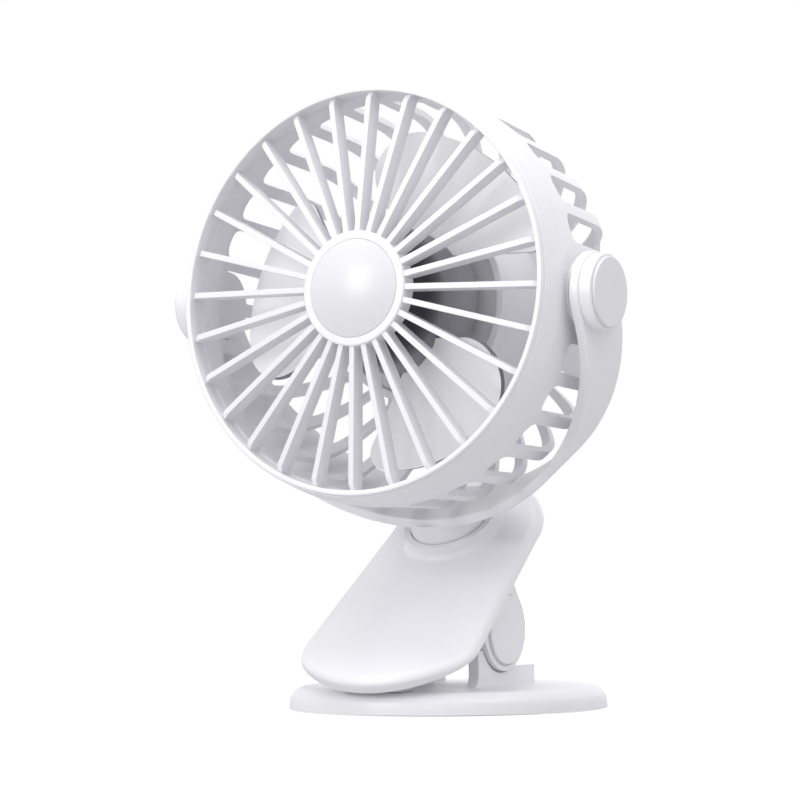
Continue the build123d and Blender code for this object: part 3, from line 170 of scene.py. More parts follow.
WHITE = (0.845, 0.84, 0.868)
finishes = {
    "shell_plastic": moulded("shell plastic", WHITE, 0.35),
    "gloss_cap": moulded("gloss cap", (0.75, 0.747, 0.772), 0.3, depth=0.000004, tint=0.01),
    "blade_plastic": moulded("blade plastic", (0.98, 0.975, 0.99), 0.24, depth=0.000006),
    "steel": moulded("screw steel", (0.55, 0.55, 0.57), 0.35, Metallic=1.0),
    "spring_steel": moulded("spring steel", (0.42, 0.42, 0.45), 0.3, Metallic=1.0),
    "motor_steel": moulded("motor steel", (0.5, 0.5, 0.52), 0.35, Metallic=1.0),
    "grip_rubber": moulded("grip rubber", (0.62, 0.62, 0.66), 0.75, depth=0.00006),
    "washer_nylon": moulded("washer nylon", (0.7, 0.7, 0.68), 0.5),
    "motor_end_plastic": moulded("motor end plastic", (0.04, 0.04, 0.045), 0.5),
    "bushing_brass": moulded("bushing brass", (0.6, 0.42, 0.18), 0.35, Metallic=1.0),
    "magnet": moulded("magnet", (0.06, 0.06, 0.065), 0.6),
    "battery_wrap": moulded("battery wrap", (0.3, 0.36, 0.44), 0.35),
    "foam": moulded("foam", (0.04, 0.04, 0.045), 0.9),
    "board": moulded("board", (0.02, 0.12, 0.05), 0.4),
    "switch_plastic": moulded("switch plastic", (0.03, 0.03, 0.035), 0.45),
    "light_pipe": moulded("light pipe", (0.75, 0.82, 0.88), 0.15),
}
# painted shade: the first colour below is the dark grey painted on the middle of the fan hub's front, where the
# guard's hub shades it
HUB_PAINTED_SHADE = (0.07, 0.068, 0.078)
HUB_OUTER = (0.34, 0.335, 0.36)
HUB_SHADE = (0.015, 0.026)    # painted shade of the guard's hub on the fan hub: the hub's grey lightens between these radii, in metres
# painted shade: dark grey painted on the blades' rim faces, standing for the shade on their edges
BLADE_RIM_PAINTED_SHADE = (0.26, 0.255, 0.28)


def hub_with_painted_shade(name, inner, outer, reach):
    """Grey plastic with painted shade: darkened near the middle of the hub's front, where the guard's hub shades
    it, and lightening with the distance from there.
    """
    material = moulded(name, outer, 0.42, tint=0.12)
    tree = material.node_tree
    body = tree.nodes["Principled BSDF"]
    grain = body.inputs["Base Color"].links[0].from_socket
    place = tree.nodes.new("ShaderNodeTexCoord")
    away = tree.nodes.new("ShaderNodeVectorMath")
    away.operation = "DISTANCE"
    away.inputs[1].default_value = HUB_FACE
    share = tree.nodes.new("ShaderNodeMapRange")
    share.inputs["From Min"].default_value = reach[0]
    share.inputs["From Max"].default_value = reach[1]
    share.interpolation_type = "SMOOTHSTEP"
    mix = tree.nodes.new("ShaderNodeMix")
    mix.data_type = "RGBA"
    mix.inputs["A"].default_value = (*inner, 1)
    tree.links.new(place.outputs["Object"], away.inputs[0])
    tree.links.new(away.outputs["Value"], share.inputs["Value"])
    tree.links.new(share.outputs["Result"], mix.inputs["Factor"])
    tree.links.new(grain, mix.inputs["B"])
    tree.links.new(mix.outputs["Result"], body.inputs["Base Color"])
    return material


slot_of = {part["node"]: part["material_slot"] for part in frame["record"]["subparts"]}
for node, piece in frame["nodes"].items():
    piece.data.materials.clear()
    piece.data.materials.append(finishes[slot_of[node]])


# ---------------------------------------------------------------- sizes, in millimetres
# radii from the fan's axis, and heights (z) ahead of the pivot axis
FIT = 0.03            # gap between pieces that sit in one another
DRUM_R = 62.6
DRUM_WALL = 2.3
DRUM_STRAIGHT_Z = 3.0
DRUM_TAIL = (61.2, -19.0)
BOWL_SIDE = (58.7, -27.3)
BOWL_TURN = (52.4, -35.3)
BOWL_REAR = (45.4, -39.8)
BOWL_FLAT = (37.0, -42.4)
CAGE_WALL = 2.1
SPLIT_Z = 12.0
RIM_Z = 21.5
RIM_R = 59.3
LIP_R = 60.9
LIP_STEP = 1.7
BAND_R = 61.4
SPOKES = 28
SPOKE_WIDTH = 1.7
HUB_R = 17.2
HUB_Z = 24.8
HUB_DEPTH = 5.8
HUB_RECESS_R = 12.0
CAP_R = 14.6
CAP_SEAT = 2.3
CAP_CROWN = 3.2
VENTS = 30
VENT_ARC = 8.4
VENT_FRONT_Z = 3.5
VENT_CORNER_R = 3.6
VENT_INNER_R = 35.0
VENT_TIP = 2.6
SHORT_VENTS = (6, 7, 8, 9)
SHORT_VENT_R = 53.0
PIVOT_VENTS = {7: 1, 22: 1, 8: -1, 23: -1}
PIVOT_DISC_R = 10.5
CUP_R = 29.4
CUP_WALL = 2.0
CUP_FRONT_Z = -13.0
CUP_REAR_Z = -49.0
WELL_Z = -15.5
WELL_LIP = 2.5
PLATEAU_R = 15.2
CAN_R = 12.03
BUSHING_R = 3.03
CAN_BACK_Z = -31.5
FLOOR = 2.0
BOARD_Z = -42.3
HUB_SCREW_CIRCLE = 21.5
SOCKET_Z = -45.13
SOCKET_SLOT = (9.54, 3.86)
PAD_X = 63.2
PAD_R = 9.5
PAD_THICK = 1.7
PAD_BORE_R = 1.63
BOSSES = 3
BOSS_R = 3.0
BOSS_NOSE_R = 1.9
BOSS_BORE_R = 1.13
FAN_R = 50.7
FAN_HUB_FRONT_R = 21.0
FAN_HUB_REAR_R = 22.8
FAN_HUB_FRONT_Z = 8.0
FAN_HUB_REAR_Z = -9.5
SHAFT_R = 1.03
SHAFT_END_Z = 6.1
FAN_HUB_WALL = 1.5
FAN_BOSS_R = 3.0
HUB_FACE = PIVOT + FAN_FRONT * FAN_HUB_FRONT_Z * MM


# ---------------------------------------------------------------- mesh making
def new_piece(name, points, faces, place=Matrix.Identity(4)):
    """A mesh object at the origin, from points in millimetres in a local frame."""
    mesh = bpy.data.meshes.new(name)
    mesh.from_pydata([place @ (Vector(point) * MM) for point in points], [], faces)
    return add_object(name, mesh)


def tidy_faces(piece, merge=0.01):
    """Merges points closer than this, in millimetres, and turns all faces outwards."""
    work = bmesh.new()
    work.from_mesh(piece.data)
    bmesh.ops.remove_doubles(work, verts=work.verts, dist=merge * MM)
    bmesh.ops.recalc_face_normals(work, faces=work.faces)
    work.to_mesh(piece.data)
    work.free()


def settle(piece, smooth=35):
    """Applies all modifiers, then smooths what meets at less than this angle, flat faces kept."""
    for step in ("modifiers", "normals"):
        graph = bpy.context.evaluated_depsgraph_get()
        mesh = bpy.data.meshes.new_from_object(piece.evaluated_get(graph))
        piece.modifiers.clear()
        piece.data = mesh
        if step == "modifiers":
            mesh.polygons.foreach_set("use_smooth", [True] * len(mesh.polygons))
            mesh.set_sharp_from_angle(angle=math.radians(smooth))
            flat = piece.modifiers.new("flat faces", "WEIGHTED_NORMAL")
            flat.mode = "FACE_AREA"
            flat.keep_sharp = True
    return piece


def soften(piece, width, segments=2, angle=40):
    """Rounds the edges sharper than this angle."""
    bevel = piece.modifiers.new("soft edges", "BEVEL")
    bevel.width = width * MM
    bevel.segments = segments
    bevel.limit_method = "ANGLE"
    bevel.angle_limit = math.radians(angle)
    bevel.use_clamp_overlap = True


NEAR_HALF = 0.49    # most of a side that a rounded corner may take


def rounded(corners, steps=4):
    """A closed line through (r, z, rounding) corners, each corner turned into a short arc."""
    line = []
    count = len(corners)
    for i, (x, y, radius) in enumerate(corners):
        here = Vector((x, y))
        before = Vector(corners[i - 1][:2]) - here
        after = Vector(corners[(i + 1) % count][:2]) - here
        if radius <= 0:
            line.append(here)
            continue
        half = before.angle(after) / 2
        reach = min(radius / math.tan(half), NEAR_HALF * before.length, NEAR_HALF * after.length)
        start = here + before.normalized() * reach
        end = here + after.normalized() * reach
        for k in range(steps + 1):
            t = k / steps
            line.append(start * (1 - t) ** 2 + here * 2 * t * (1 - t) + end * t**2)
    return line


def turned(name, corners, place, turns=160):
    """A closed (radius, z) outline spun about the local z axis."""
    line = rounded(corners)
    points = []
    for k in range(turns):
        angle = 2 * math.pi * k / turns
        points += [(spot.x * math.cos(angle), spot.x * math.sin(angle), spot.y) for spot in line]
    size = len(line)
    faces = []
    for k in range(turns):
        row, following = k * size, (k + 1) % turns * size
        for i in range(size):
            j = (i + 1) % size
            faces.append((row + i, following + i, following + j, row + j))
    piece = new_piece(name, points, faces, place)
    tidy_faces(piece)
    return piece


def joined(name, pieces):
    """One object from several."""
    work = bmesh.new()
    for piece in pieces:
        work.from_mesh(piece.data)
        bpy.data.objects.remove(piece)
    mesh = bpy.data.meshes.new(name)
    work.to_mesh(mesh)
    work.free()
    return add_object(name, mesh)


def ring_of(name, item, count, start, place, material):
    """Repeats an item about the local z axis with Geometry Nodes and returns a plain mesh piece."""
    tree = bpy.data.node_groups.new(name, "GeometryNodeTree")
    face = tree.interface
    face.new_socket("Geometry", in_out="OUTPUT", socket_type="NodeSocketGeometry")
    inputs = {}
    kinds = {"Item": "Object", "Count": "Int", "Start": "Float", "Finish": "Material"}
    for label, kind in kinds.items():
        inputs[label] = face.new_socket(label, in_out="INPUT", socket_type=f"NodeSocket{kind}")
    nodes, links = tree.nodes, tree.links
    given = nodes.new("NodeGroupInput")
    result = nodes.new("NodeGroupOutput")
    spots = nodes.new("GeometryNodePoints")
    index = nodes.new("GeometryNodeInputIndex")
    share = nodes.new("ShaderNodeMath")
    share.operation = "DIVIDE"
    turn = nodes.new("ShaderNodeMath")
    turn.operation = "MULTIPLY_ADD"
    turn.inputs[1].default_value = 2 * math.pi
    spin = nodes.new("ShaderNodeCombineXYZ")
    source = nodes.new("GeometryNodeObjectInfo")
    instances = nodes.new("GeometryNodeInstanceOnPoints")
    real = nodes.new("GeometryNodeRealizeInstances")
    paint = nodes.new("GeometryNodeSetMaterial")
    links.new(given.outputs["Count"], spots.inputs["Count"])
    links.new(index.outputs["Index"], share.inputs[0])
    links.new(given.outputs["Count"], share.inputs[1])
    links.new(share.outputs[0], turn.inputs[0])
    links.new(given.outputs["Start"], turn.inputs[2])
    links.new(turn.outputs[0], spin.inputs["Z"])
    links.new(given.outputs["Item"], source.inputs["Object"])
    links.new(spots.outputs["Points"], instances.inputs["Points"])
    links.new(source.outputs["Geometry"], instances.inputs["Instance"])
    links.new(spin.outputs["Vector"], instances.inputs["Rotation"])
    links.new(instances.outputs["Instances"], real.inputs["Geometry"])
    links.new(real.outputs["Geometry"], paint.inputs["Geometry"])
    links.new(given.outputs["Finish"], paint.inputs["Material"])
    links.new(paint.outputs["Geometry"], result.inputs["Geometry"])

    piece = new_piece(name, [(0, 0, 0)], [])
    repeat = piece.modifiers.new("ring", "NODES")
    repeat.node_group = tree
    for label, value in zip(kinds, (item, count, start, material)):
        repeat[inputs[label].identifier] = value
    graph = bpy.context.evaluated_depsgraph_get()
    mesh = bpy.data.meshes.new_from_object(piece.evaluated_get(graph))
    piece.modifiers.remove(repeat)
    piece.data = mesh
    mesh.transform(place)
    bpy.data.objects.remove(item)
    return piece


def dress(piece, body, slot, *nodes):
    """Gives a finished piece its material and its place in the model."""
    piece.data.materials.clear()
    piece.data.materials.append(finishes[slot])
    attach(piece, body)
    if nodes:
        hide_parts(*nodes)
    return piece


# ---------------------------------------------------------------- front guard
SPOKE_EDGE = 0.12
SPOKE_ROOT_R = HUB_R - 1.2    # the spokes start inside the hub ring
SPOKE_TIP_R = RIM_R + 0.5     # and end inside the rim
SPIGOT_WALL = 1.6
SPIGOT_DEPTH = 5.0
HUB_PLATE = 2.0


def make_spoke():
    """One spoke of the guard, standing straight up in the local frame."""
    side = [
        (SPOKE_ROOT_R, HUB_Z - 0.5),
        (RIM_R - 2.0, RIM_Z - 0.3),
        (SPOKE_TIP_R, RIM_Z - 2.2),
        (SPOKE_TIP_R, RIM_Z - 6.0),
        (SPOKE_ROOT_R, HUB_Z - HUB_DEPTH + 0.1),
    ]
    count = len(side)
    half = SPOKE_WIDTH / 2
    points = [(r, -half, z) for r, z in side] + [(r, half, z) for r, z in side]
    faces = [tuple(range(count)), tuple(range(2 * count - 1, count - 1, -1))]
    for i in range(count):
        j = (i + 1) % count
        faces.append((j, i, count + i, count + j))
    spoke = new_piece("spoke", points, faces)
    tidy_faces(spoke)
    soften(spoke, SPOKE_EDGE, 3)
    return settle(spoke)


def make_guard():
    """The rim with the spigot that plugs into the drum, the hub ring and the spokes."""
    spigot = DRUM_R - DRUM_WALL - 0.05
    rim = turned(
        "rim",
        [
            (RIM_R, RIM_Z, 0.4),
            (LIP_R, RIM_Z, 0.5),
            (LIP_R, RIM_Z - LIP_STEP, 0.12),
            (BAND_R, RIM_Z - LIP_STEP, 0.4),
            (DRUM_R, SPLIT_Z + FIT, 0.1),
            (spigot, SPLIT_Z + FIT, 0.0),
            (spigot, SPLIT_Z - SPIGOT_DEPTH, 0.2),
            (spigot - SPIGOT_WALL, SPLIT_Z - SPIGOT_DEPTH, 0.2),
            (spigot - SPIGOT_WALL, SPLIT_Z + 3.0, 0.3),
            (RIM_R, SPLIT_Z + 4.0, 0.3),
        ],
        HEAD,
        224,
    )
    hub = turned(
        "hub",
        [
            (0, HUB_Z - CAP_SEAT, 0),
            (CAP_R + FIT, HUB_Z - CAP_SEAT, 0),
            (CAP_R + FIT, HUB_Z, 0.25),
            (HUB_R, HUB_Z, 0.6),
            (HUB_R, HUB_Z - HUB_DEPTH, 0.4),
            (HUB_RECESS_R, HUB_Z - HUB_DEPTH, 0.3),
            (HUB_RECESS_R, HUB_Z - HUB_DEPTH + HUB_PLATE, 0.3),
            (0, HUB_Z - HUB_DEPTH + HUB_PLATE, 0),
        ],
        HEAD,
        128,
    )
    spokes = ring_of("spokes", make_spoke(), SPOKES, math.pi / 2, HEAD, finishes["shell_plastic"])
    guard = settle(joined("front_guard_body", [rim, hub, spokes]))
    return dress(guard, "head", "shell_plastic", "front_guard")


# ---------------------------------------------------------------- centre cap
DOME_STEPS = 24


def make_cap():
    """The centre cap: a short cylinder under a dome that is a parabola in section."""
    outline = [
        (0, HUB_Z - CAP_SEAT, 0),
        (CAP_R, HUB_Z - CAP_SEAT, 0.2),
        (CAP_R, HUB_Z + 0.05, 0.25),
    ]
    for k in range(1, DOME_STEPS + 1):
        share = 1 - k / DOME_STEPS
        outline.append((CAP_R * share, HUB_Z + CAP_CROWN * (1 - share**2), 0))
    cap = settle(turned("centre_cap_body", outline, HEAD, 128))
    return dress(cap, "head", "gloss_cap", "centre_cap")


# ---------------------------------------------------------------- rear cage
def arc_through(start, middle, end, count):
    """Points of the circle through three (r, z) spots, the first one left out."""
    a, b, c = Vector(start), Vector(middle), Vector(end)
    ab, ac = b - a, c - a
    twice = 2 * (ab.x * ac.y - ab.y * ac.x)
    centre = a + Vector(
        (
            ac.y * ab.length_squared - ab.y * ac.length_squared,
            ab.x * ac.length_squared - ac.x * ab.length_squared,
        )
    ) / twice
    first, last = a - centre, c - centre
    sweep = first.angle_signed(last)
    line = []
    for k in range(1, count + 1):
        turn = -sweep * k / count
        line.append(
            (
                centre.x + first.x * math.cos(turn) - first.y * math.sin(turn),
                centre.y + first.x * math.sin(turn) + first.y * math.cos(turn),
            )
        )
    return line


def drum_radius(z):
    """Outer radius of the drum between the split line and its tail."""
    share = max(0.0, (DRUM_STRAIGHT_Z - z) / (DRUM_STRAIGHT_Z - DRUM_TAIL[1]))
    return DRUM_R + (DRUM_TAIL[0] - DRUM_R) * share


def cage_outline():
    """(radius, z) stations of the outside from the split line back and round to the rear hub."""
    nose_end = VENT_FRONT_Z - VENT_CORNER_R
    levels = [SPLIT_Z, SPLIT_Z - 0.6, (SPLIT_Z + VENT_FRONT_Z) / 2]
    levels += [VENT_FRONT_Z - VENT_CORNER_R * (1 - math.cos(math.pi / 2 * k / 8)) for k in range(9)]
    levels += [nose_end + (DRUM_TAIL[1] - nose_end) * k / 18 for k in range(1, 19)]
    line = [(drum_radius(z), z) for z in levels]
    line += arc_through(DRUM_TAIL, BOWL_SIDE, BOWL_TURN, 14)
    line += arc_through(BOWL_TURN, BOWL_REAR, BOWL_FLAT, 10)
    for k in range(1, 6):
        share = 1 - math.sin(math.pi / 2 * k / 5)
        line.append((VENT_INNER_R + VENT_TIP * share * 0.75, BOWL_FLAT[1]))
    line.append((CUP_R - 0.3, BOWL_FLAT[1]))
    return line


END_ROUNDNESS = 2.4    # power of the curve at a slot's end; 2 is a circle
LEAST_SLOT = 0.5       # a slot narrower than this, in millimetres, is closed
RIB_ROWS = 6


def rounded_end(distance, reach):
    """The share of its width that a slot has at this distance from its rounded end."""
    if distance <= 0:
        return 0.0
    return (1 - max(0.0, 1 - distance / reach) ** END_ROUNDNESS) ** (1 / END_ROUNDNESS)


def vent_edges(k, r, z):
    """The angles, from a vent's middle, of its clockwise and anticlockwise edges here."""
    half = math.radians(VENT_ARC / 2) * rounded_end(VENT_FRONT_Z - z, VENT_CORNER_R)
    if z < DRUM_TAIL[1]:
        inner = SHORT_VENT_R if k in SHORT_VENTS else VENT_INNER_R
        half *= rounded_end(r - inner, VENT_TIP)
    low, high = -half, half
    if k in PIVOT_VENTS and z > -PIVOT_DISC_R:
        disc = math.asin(math.sqrt(max(0.0, PIVOT_DISC_R**2 - z**2)) / r)
        edge = disc - math.pi / VENTS
        low = max(low, edge)
        if (high - low) * r < LEAST_SLOT:
            low = high = math.radians(VENT_ARC / 2)
        if PIVOT_VENTS[k] < 0:
            low, high = -high, -low
    return low, high


def make_cage():
    """The drum and the bowl behind it: a rib between each two slots."""
    stations = cage_outline()
    pitch = 2 * math.pi / VENTS
    points, faces = [], []
    for k in range(VENTS):
        first = len(points)
        for r, z in stations:
            start = math.pi / 2 - pitch * k + vent_edges(k, r, z)[0]
            stop = math.pi / 2 - pitch * (k + 1) + vent_edges((k + 1) % VENTS, r, z)[1]
            for j in range(RIB_ROWS + 1):
                angle = start + (stop - start) * j / RIB_ROWS
                points.append((r * math.cos(angle), r * math.sin(angle), z))
        for i in range(len(stations) - 1):
            for j in range(RIB_ROWS):
                a = first + i * (RIB_ROWS + 1) + j
                faces.append((a, a + RIB_ROWS + 1, a + RIB_ROWS + 2, a + 1))
    cage = new_piece("cage", points, faces, HEAD)
    tidy_faces(cage, 0.02)
    wall = cage.modifiers.new("wall", "SOLIDIFY")
    wall.thickness = CAGE_WALL * MM
    wall.offset = -1
    soften(cage, 0.35, 2, 50)
    return settle(cage)


def make_hub_cup():
    """The cup that holds the motor, with its well, the motor's collar and the socket's slot."""
    collar_r = CAN_R + FLOOR
    cup = turned(
        "cup",
        [
            (CUP_R, CUP_FRONT_Z, 0.5),
            (CUP_R, CUP_REAR_Z, 0.1),
            (CUP_R - CUP_WALL, CUP_REAR_Z, 0.1),
            (CUP_R - CUP_WALL, WELL_Z - FLOOR, 0.3),
            (collar_r, WELL_Z - FLOOR, 0.3),
            (collar_r, CAN_BACK_Z + 1, 0.2),
            (CAN_R, CAN_BACK_Z + 1, 0.2),
            (CAN_R, CUP_FRONT_Z - FLOOR, 0),
            (BUSHING_R, CUP_FRONT_Z - FLOOR, 0),
            (BUSHING_R, CUP_FRONT_Z, 0.1),
            (PLATEAU_R, CUP_FRONT_Z, 0.4),
            (PLATEAU_R, WELL_Z, 0.3),
            (CUP_R - WELL_LIP, WELL_Z, 0.4),
            (CUP_R - WELL_LIP, CUP_FRONT_Z, 0.5),
        ],
        HEAD,
        144,
    )
    wide, high = SOCKET_SLOT
    ring = []
    for way in (1, -1):
        middle = way * (wide - high) / 2
        for k in range(13):
            angle = way * math.pi / 2 - math.pi * k / 12
            ring.append((middle + high / 2 * math.cos(angle), high / 2 * math.sin(angle)))
    count = len(ring)
    points = [(x, -CUP_R - 3, SOCKET_Z + z) for x, z in ring]
    points += [(x, CUP_WALL + 1 - CUP_R, SOCKET_Z + z) for x, z in ring]
    faces = [tuple(range(count)), tuple(range(2 * count - 1, count - 1, -1))]
    faces += [(i, (i + 1) % count, count + (i + 1) % count, count + i) for i in range(count)]
    slot = new_piece("slot", points, faces, HEAD)
    tidy_faces(slot)
    opening = cup.modifiers.new("slot", "BOOLEAN")
    opening.object = slot
    opening.operation = "DIFFERENCE"
    opening.solver = "EXACT"
    settle(cup)
    bpy.data.objects.remove(slot)
    return cup


def make_housing():
    """The cage, the hub cup, the two pivot pads and the screw bosses as one moulding."""
    pieces = [make_cage(), make_hub_cup()]
    for way in (-1, 1):
        place = local_frame(PIVOT, SIDE * way, Vector((0, 1, 0)))
        pad = [
            (PAD_BORE_R, PAD_X, 0),
            (PAD_R, PAD_X, 0.3),
            (PAD_R, PAD_X - PAD_THICK, 0),
            (PAD_BORE_R, PAD_X - PAD_THICK, 0),
        ]
        pieces.append(turned("pad", pad, place, 72))
    for k in range(BOSSES):
        angle = math.pi / 2 + 2 * math.pi * k / BOSSES
        spot = Vector((math.cos(angle), math.sin(angle), 0)) * HUB_SCREW_CIRCLE * MM
        boss = [
            (BOSS_BORE_R, WELL_Z - FLOOR, 0),
            (BOSS_R, WELL_Z - FLOOR, 0),
            (BOSS_R, BOARD_Z, 0.2),
            (BOSS_NOSE_R, BOARD_Z, 0),
            (BOSS_NOSE_R, CUP_REAR_Z, 0.1),
            (BOSS_BORE_R, CUP_REAR_Z, 0),
        ]
        pieces.append(turned("boss", boss, HEAD @ Matrix.Translation(spot), 32))
    housing = settle(joined("rear_housing_body", pieces))
    return dress(housing, "head", "shell_plastic", "rear_housing")


# ---------------------------------------------------------------- impeller
BLADES = 3
BLADE_START = math.radians(60)    # middle of the first blade
BLADE_THICK = 1.7
BLADE_ROOT_R = 20.5
BLADE_MID_R = 37.0
BLADE_MID_Z = -0.8
BLADE_CONE = 0.03         # the blade leans back by this for each millimetre outwards
BLADE_RISE = 9.9          # height gained over a radian at the middle radius
BLADE_RISE_GROWTH = 0.08
BLADE_CAMBER = 4.7
PAINTED_SHADE_RIM_SLOPE = 0.5     # faces steeper than this to the fan's axis belong to a blade's rim, which is painted dark as painted shade
# each edge: its angles at the tip and at the hub from the blade's middle, and its tip's rounding
LEAD_EDGE = (math.radians(44.3), math.radians(27.0), 13.0)
TAIL_EDGE = (math.radians(-44.2), math.radians(-25.0), 5.0)


def blade_height(r, turn):
    """Height of a blade's middle surface: a pitch, a soft camber and shallow flow ripples."""
    out = r - BLADE_MID_R
    rise = (BLADE_RISE + BLADE_RISE_GROWTH * out) * turn
    ripple = 0.10 * math.sin(turn * 13 + 0.4) + 0.06 * math.sin(turn * 29 + r * 0.05)
    return BLADE_MID_Z - BLADE_CONE * out + rise + BLADE_CAMBER * turn**2 + ripple


def blade_edge(r, tip, root, corner_r):
    """The angle of one edge of a blade at this radius: a straight edge with a rounded tip."""
    tip_spot = Vector((math.cos(tip), math.sin(tip))) * FAN_R
    root_spot = Vector((math.cos(root), math.sin(root))) * FAN_HUB_REAR_R
    along = (root_spot - tip_spot).normalized()
    across = Vector((-along.y, along.x))
    if (across.y > 0) == (tip > 0):
        across = -across
    base = tip_spot + across * corner_r
    b = base.dot(along)
    c = base.length_squared - (FAN_R - corner_r) ** 2
    centre = base + along * (-b - math.sqrt(b * b - c))
    touch = centre - across * corner_r
    if r > touch.length:
        d = centre.length
        cosine = (r * r + d * d - corner_r**2) / (2 * r * d)
        swing = math.acos(min(1.0, max(-1.0, cosine)))
        return math.atan2(centre.y, centre.x) + math.copysign(swing, tip)
    b = tip_spot.dot(along)
    c = tip_spot.length_squared - r * r
    spot = tip_spot + along * (-b - math.sqrt(max(0.0, b * b - c)))
    return math.atan2(spot.y, spot.x)


def make_blade():
    """One blade about the local x axis: rows from the hub out, closer together at the tip."""
    span = FAN_R - BLADE_ROOT_R
    rows = [BLADE_ROOT_R + span * math.sin(math.pi / 2 * k / 44) for k in range(45)]
    across = 40
    points, faces = [], []
    for r in rows:
        low = blade_edge(r, *TAIL_EDGE)
        high = blade_edge(r, *LEAD_EDGE)
        for j in range(across + 1):
            turn = low + (high - low) * j / across
            points.append((r * math.cos(turn), r * math.sin(turn), blade_height(r, turn)))
    for i in range(len(rows) - 1):
        for j in range(across):
            a = i * (across + 1) + j
            faces.append((a, a + across + 1, a + across + 2, a + 1))
    blade = new_piece("blade", points, faces)
    tidy_faces(blade)
    wall = blade.modifiers.new("wall", "SOLIDIFY")
    wall.thickness = BLADE_THICK * MM
    wall.offset = 0
    soften(blade, 0.55, 3, 50)
    return settle(blade)


def make_impeller():
    """The grey hub, with painted shade towards its middle, and the ring of blades, whose rims are painted darker
    than their faces as painted shade on their edges.
    """
    inside_z = FAN_HUB_FRONT_Z - FAN_HUB_WALL
    hub = turned(
        "fan_hub",
        [
            (0, FAN_HUB_FRONT_Z, 0),
            (FAN_HUB_FRONT_R, FAN_HUB_FRONT_Z, 1.4),
            (FAN_HUB_REAR_R, FAN_HUB_REAR_Z, 0.4),
            (FAN_HUB_REAR_R - FAN_HUB_WALL, FAN_HUB_REAR_Z, 0.3),
            (FAN_HUB_FRONT_R - FAN_HUB_WALL, inside_z, 0.5),
            (FAN_BOSS_R, inside_z, 0.3),
            (FAN_BOSS_R, FAN_HUB_REAR_Z + 1, 0.2),
            (SHAFT_R, FAN_HUB_REAR_Z + 1, 0),
            (SHAFT_R, SHAFT_END_Z, 0),
            (0, SHAFT_END_Z, 0),
        ],
        HEAD,
        128,
    )
    blades = ring_of("blades", make_blade(), BLADES, BLADE_START, HEAD, finishes["blade_plastic"])
    settle(hub)
    dress(hub, "fan", "blade_plastic")
    # painted shade: the hub's grey is darkened towards the middle of its front, standing for the shade of the
    # guard's hub
    hub.data.materials[0] = hub_with_painted_shade("fan hub painted shade", HUB_PAINTED_SHADE, HUB_OUTER, HUB_SHADE)
    dress(blades, "fan", "blade_plastic", "impeller")
    # painted shade: the blades' rim faces get a dark grey that stands for their shadowed edges
    blades.data.materials.append(moulded("blade rim painted shade", BLADE_RIM_PAINTED_SHADE, 0.45))
    for face in blades.data.polygons:
        face.material_index = int(abs(face.normal.dot(FAN_FRONT)) < PAINTED_SHADE_RIM_SLOPE)
    return blades


# ---------------------------------------------------------------- pieces that keep the solid's form
CAD_MERGE = 0.005     # doubled points of a CAD mesh, in millimetres
CAD_FLAT = math.radians(0.6)
CAD_BEVEL_ANGLE = 35
JAW_DATUM = Vector((0, -0.03947, 0.01449))
JAW_SLOPE = math.radians(36)
NOSE_START = 9.0     # the jaw's crown drops from here to the nose, along the jaw
NOSE_END = -13.0
NOSE_DROP = 0.38     # share of the crown's height that is gone at the nose


def lowered_nose(work):
    """Lets the crown of the jaw's cover roll down towards its nose."""
    along = Vector((0, math.cos(JAW_SLOPE), math.sin(JAW_SLOPE)))
    upward = Vector((0, -math.sin(JAW_SLOPE), math.cos(JAW_SLOPE)))
    for vert in work.verts:
        reach = (vert.co - JAW_DATUM).dot(along) / MM
        height = (vert.co - JAW_DATUM).dot(upward)
        share = min(1.0, max(0.0, (NOSE_START - reach) / (NOSE_START - NOSE_END)))
        if height > 0:
            vert.co -= upward * height * NOSE_DROP * share**2


def softened(node, body, width, smooth=35, change=None):
    """A copy of a CAD node with its sharp edges rounded, shown in place of the node."""
    work = bmesh.new()
    work.from_mesh(frame["nodes"][node].data)
    bmesh.ops.remove_doubles(work, verts=work.verts, dist=CAD_MERGE * MM)
    bmesh.ops.dissolve_limit(work, angle_limit=CAD_FLAT, verts=work.verts, edges=work.edges)
    bmesh.ops.recalc_face_normals(work, faces=work.faces)
    if change:
        change(work)
    mesh = bpy.data.meshes.new(node + "_body")
    work.to_mesh(mesh)
    work.free()
    piece = add_object(node + "_body", mesh)
    soften(piece, width, 3, CAD_BEVEL_ANGLE)
    settle(piece, smooth)
    return dress(piece, body, slot_of[node], node)


def make_spring():
    """The clip's coil spring: a smooth-shaded copy of the CAD node in spring steel, attached to no body."""
    spring = new_piece("jaw_spring_body", [], [])
    spring.data = frame["nodes"]["jaw_spring"].data.copy()
    tidy_faces(spring)
    settle(spring, 60)
    spring.data.materials.clear()
    spring.data.materials.append(finishes["spring_steel"])
    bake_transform(spring)
    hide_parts("jaw_spring")


# ---------------------------------------------------------------- floor and light
SEEN_WHITE = 1.0
WORLD_LIGHT = 0.78
WORLD_TINT = (0.98, 0.973, 1.0)
FLOOR_SPAN = 6.0
FLOOR_GREY = (0.50, 0.50, 0.505)
FLOOR_LIFT = 0.8     # what the camera sees is lifted to white, except in the object's shadow
LIGHT_AIM = Vector((0, 0, 0.1))
LIGHTS = (           # name, place, width and power in watts
    ("key", (-0.5, -1.4, 0.62), 0.6, 7.4),
    ("side", (0.9, -0.35, 1.3), 0.8, 4),
    ("top", (-0.1, 0.0, 1.5), 1.0, 11),
)


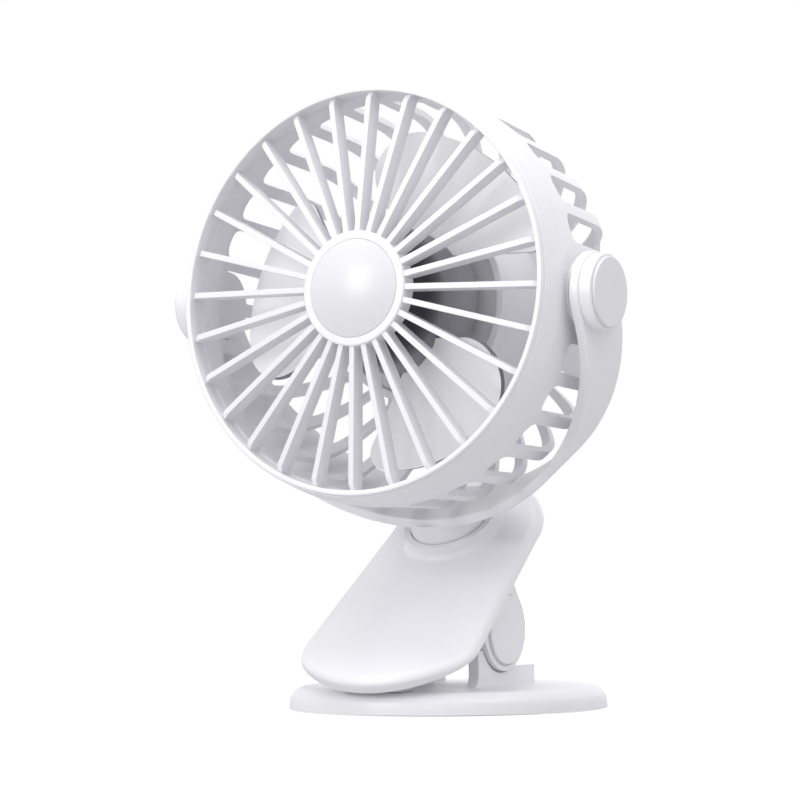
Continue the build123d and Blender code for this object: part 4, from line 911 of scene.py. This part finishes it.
def make_stage():
    """A plain pale floor that keeps the object's shadow."""
    mesh = bpy.data.meshes.new("floor")
    corners = [(x * FLOOR_SPAN, y * FLOOR_SPAN, 0) for x, y in ((-1, -1), (1, -1), (1, 1), (-1, 1))]
    mesh.from_pydata(corners, [], [(0, 1, 2, 3)])
    floor = add_object("floor", mesh)
    material, tree, body = shader("floor", Roughness=0.9)
    body.inputs["Base Color"].default_value = (*FLOOR_GREY, 1)
    path = tree.nodes.new("ShaderNodeLightPath")
    lift = tree.nodes.new("ShaderNodeMath")
    lift.operation = "MULTIPLY"
    lift.inputs[1].default_value = FLOOR_LIFT
    glow = tree.nodes.new("ShaderNodeEmission")
    both = tree.nodes.new("ShaderNodeAddShader")
    tree.links.new(path.outputs["Is Camera Ray"], lift.inputs[0])
    tree.links.new(lift.outputs[0], glow.inputs["Strength"])
    tree.links.new(body.outputs[0], both.inputs[0])
    tree.links.new(glow.outputs[0], both.inputs[1])
    tree.links.new(both.outputs[0], tree.nodes["Material Output"].inputs["Surface"])
    mesh.materials.append(material)


def make_light(name, place, size, power):
    data = bpy.data.lights.new(name, "AREA")
    data.size = size
    data.energy = power
    light = add_object(name, data)
    light.location = place
    light.rotation_euler = (LIGHT_AIM - Vector(place)).to_track_quat("-Z", "Y").to_euler()


def make_world():
    """White where the camera, a reflection or a clear piece sees it, softer as a lamp."""
    world = bpy.data.worlds.new("world")
    bpy.context.scene.world = world
    world.use_nodes = True
    tree = world.node_tree
    background = tree.nodes["Background"]
    path = tree.nodes.new("ShaderNodeLightPath")
    seen = path.outputs["Is Camera Ray"]
    for way in ("Is Glossy Ray", "Is Transmission Ray"):
        either = tree.nodes.new("ShaderNodeMath")
        either.operation = "MAXIMUM"
        tree.links.new(seen, either.inputs[0])
        tree.links.new(path.outputs[way], either.inputs[1])
        seen = either.outputs[0]
    level = tree.nodes.new("ShaderNodeMapRange")
    level.inputs["To Min"].default_value = WORLD_LIGHT
    level.inputs["To Max"].default_value = SEEN_WHITE
    tree.links.new(seen, level.inputs["Value"])
    tree.links.new(level.outputs["Result"], background.inputs["Strength"])
    tint = tree.nodes.new("ShaderNodeMix")
    tint.data_type = "RGBA"
    tint.inputs["A"].default_value = (*WORLD_TINT, 1)
    tint.inputs["B"].default_value = (1, 1, 1, 1)
    tree.links.new(seen, tint.inputs["Factor"])
    tree.links.new(tint.outputs["Result"], background.inputs["Color"])


make_guard()
make_cap()
make_housing()
make_impeller()
for node, body, width, smooth in (
    ("yoke", "yoke_body", 0.45, 35),
    ("pivot_cap_left", "yoke_body", 0.25, 35),
    ("pivot_cap_right", "yoke_body", 0.25, 35),
    ("jaw_frame", "jaw", 0.3, 35),
    ("hinge_cap_left", "jaw", 0.25, 35),
    ("hinge_cap_right", "jaw", 0.25, 35),
    ("base_plate", "base", 0.4, 14),
):
    softened(node, body, width, smooth)
softened("jaw_cover", "jaw", 0.4, change=lowered_nose)
make_spring()
make_camera()
make_stage()
make_world()
for light in LIGHTS:
    make_light(*light)
bpy.context.scene.view_settings.view_transform = "Standard"
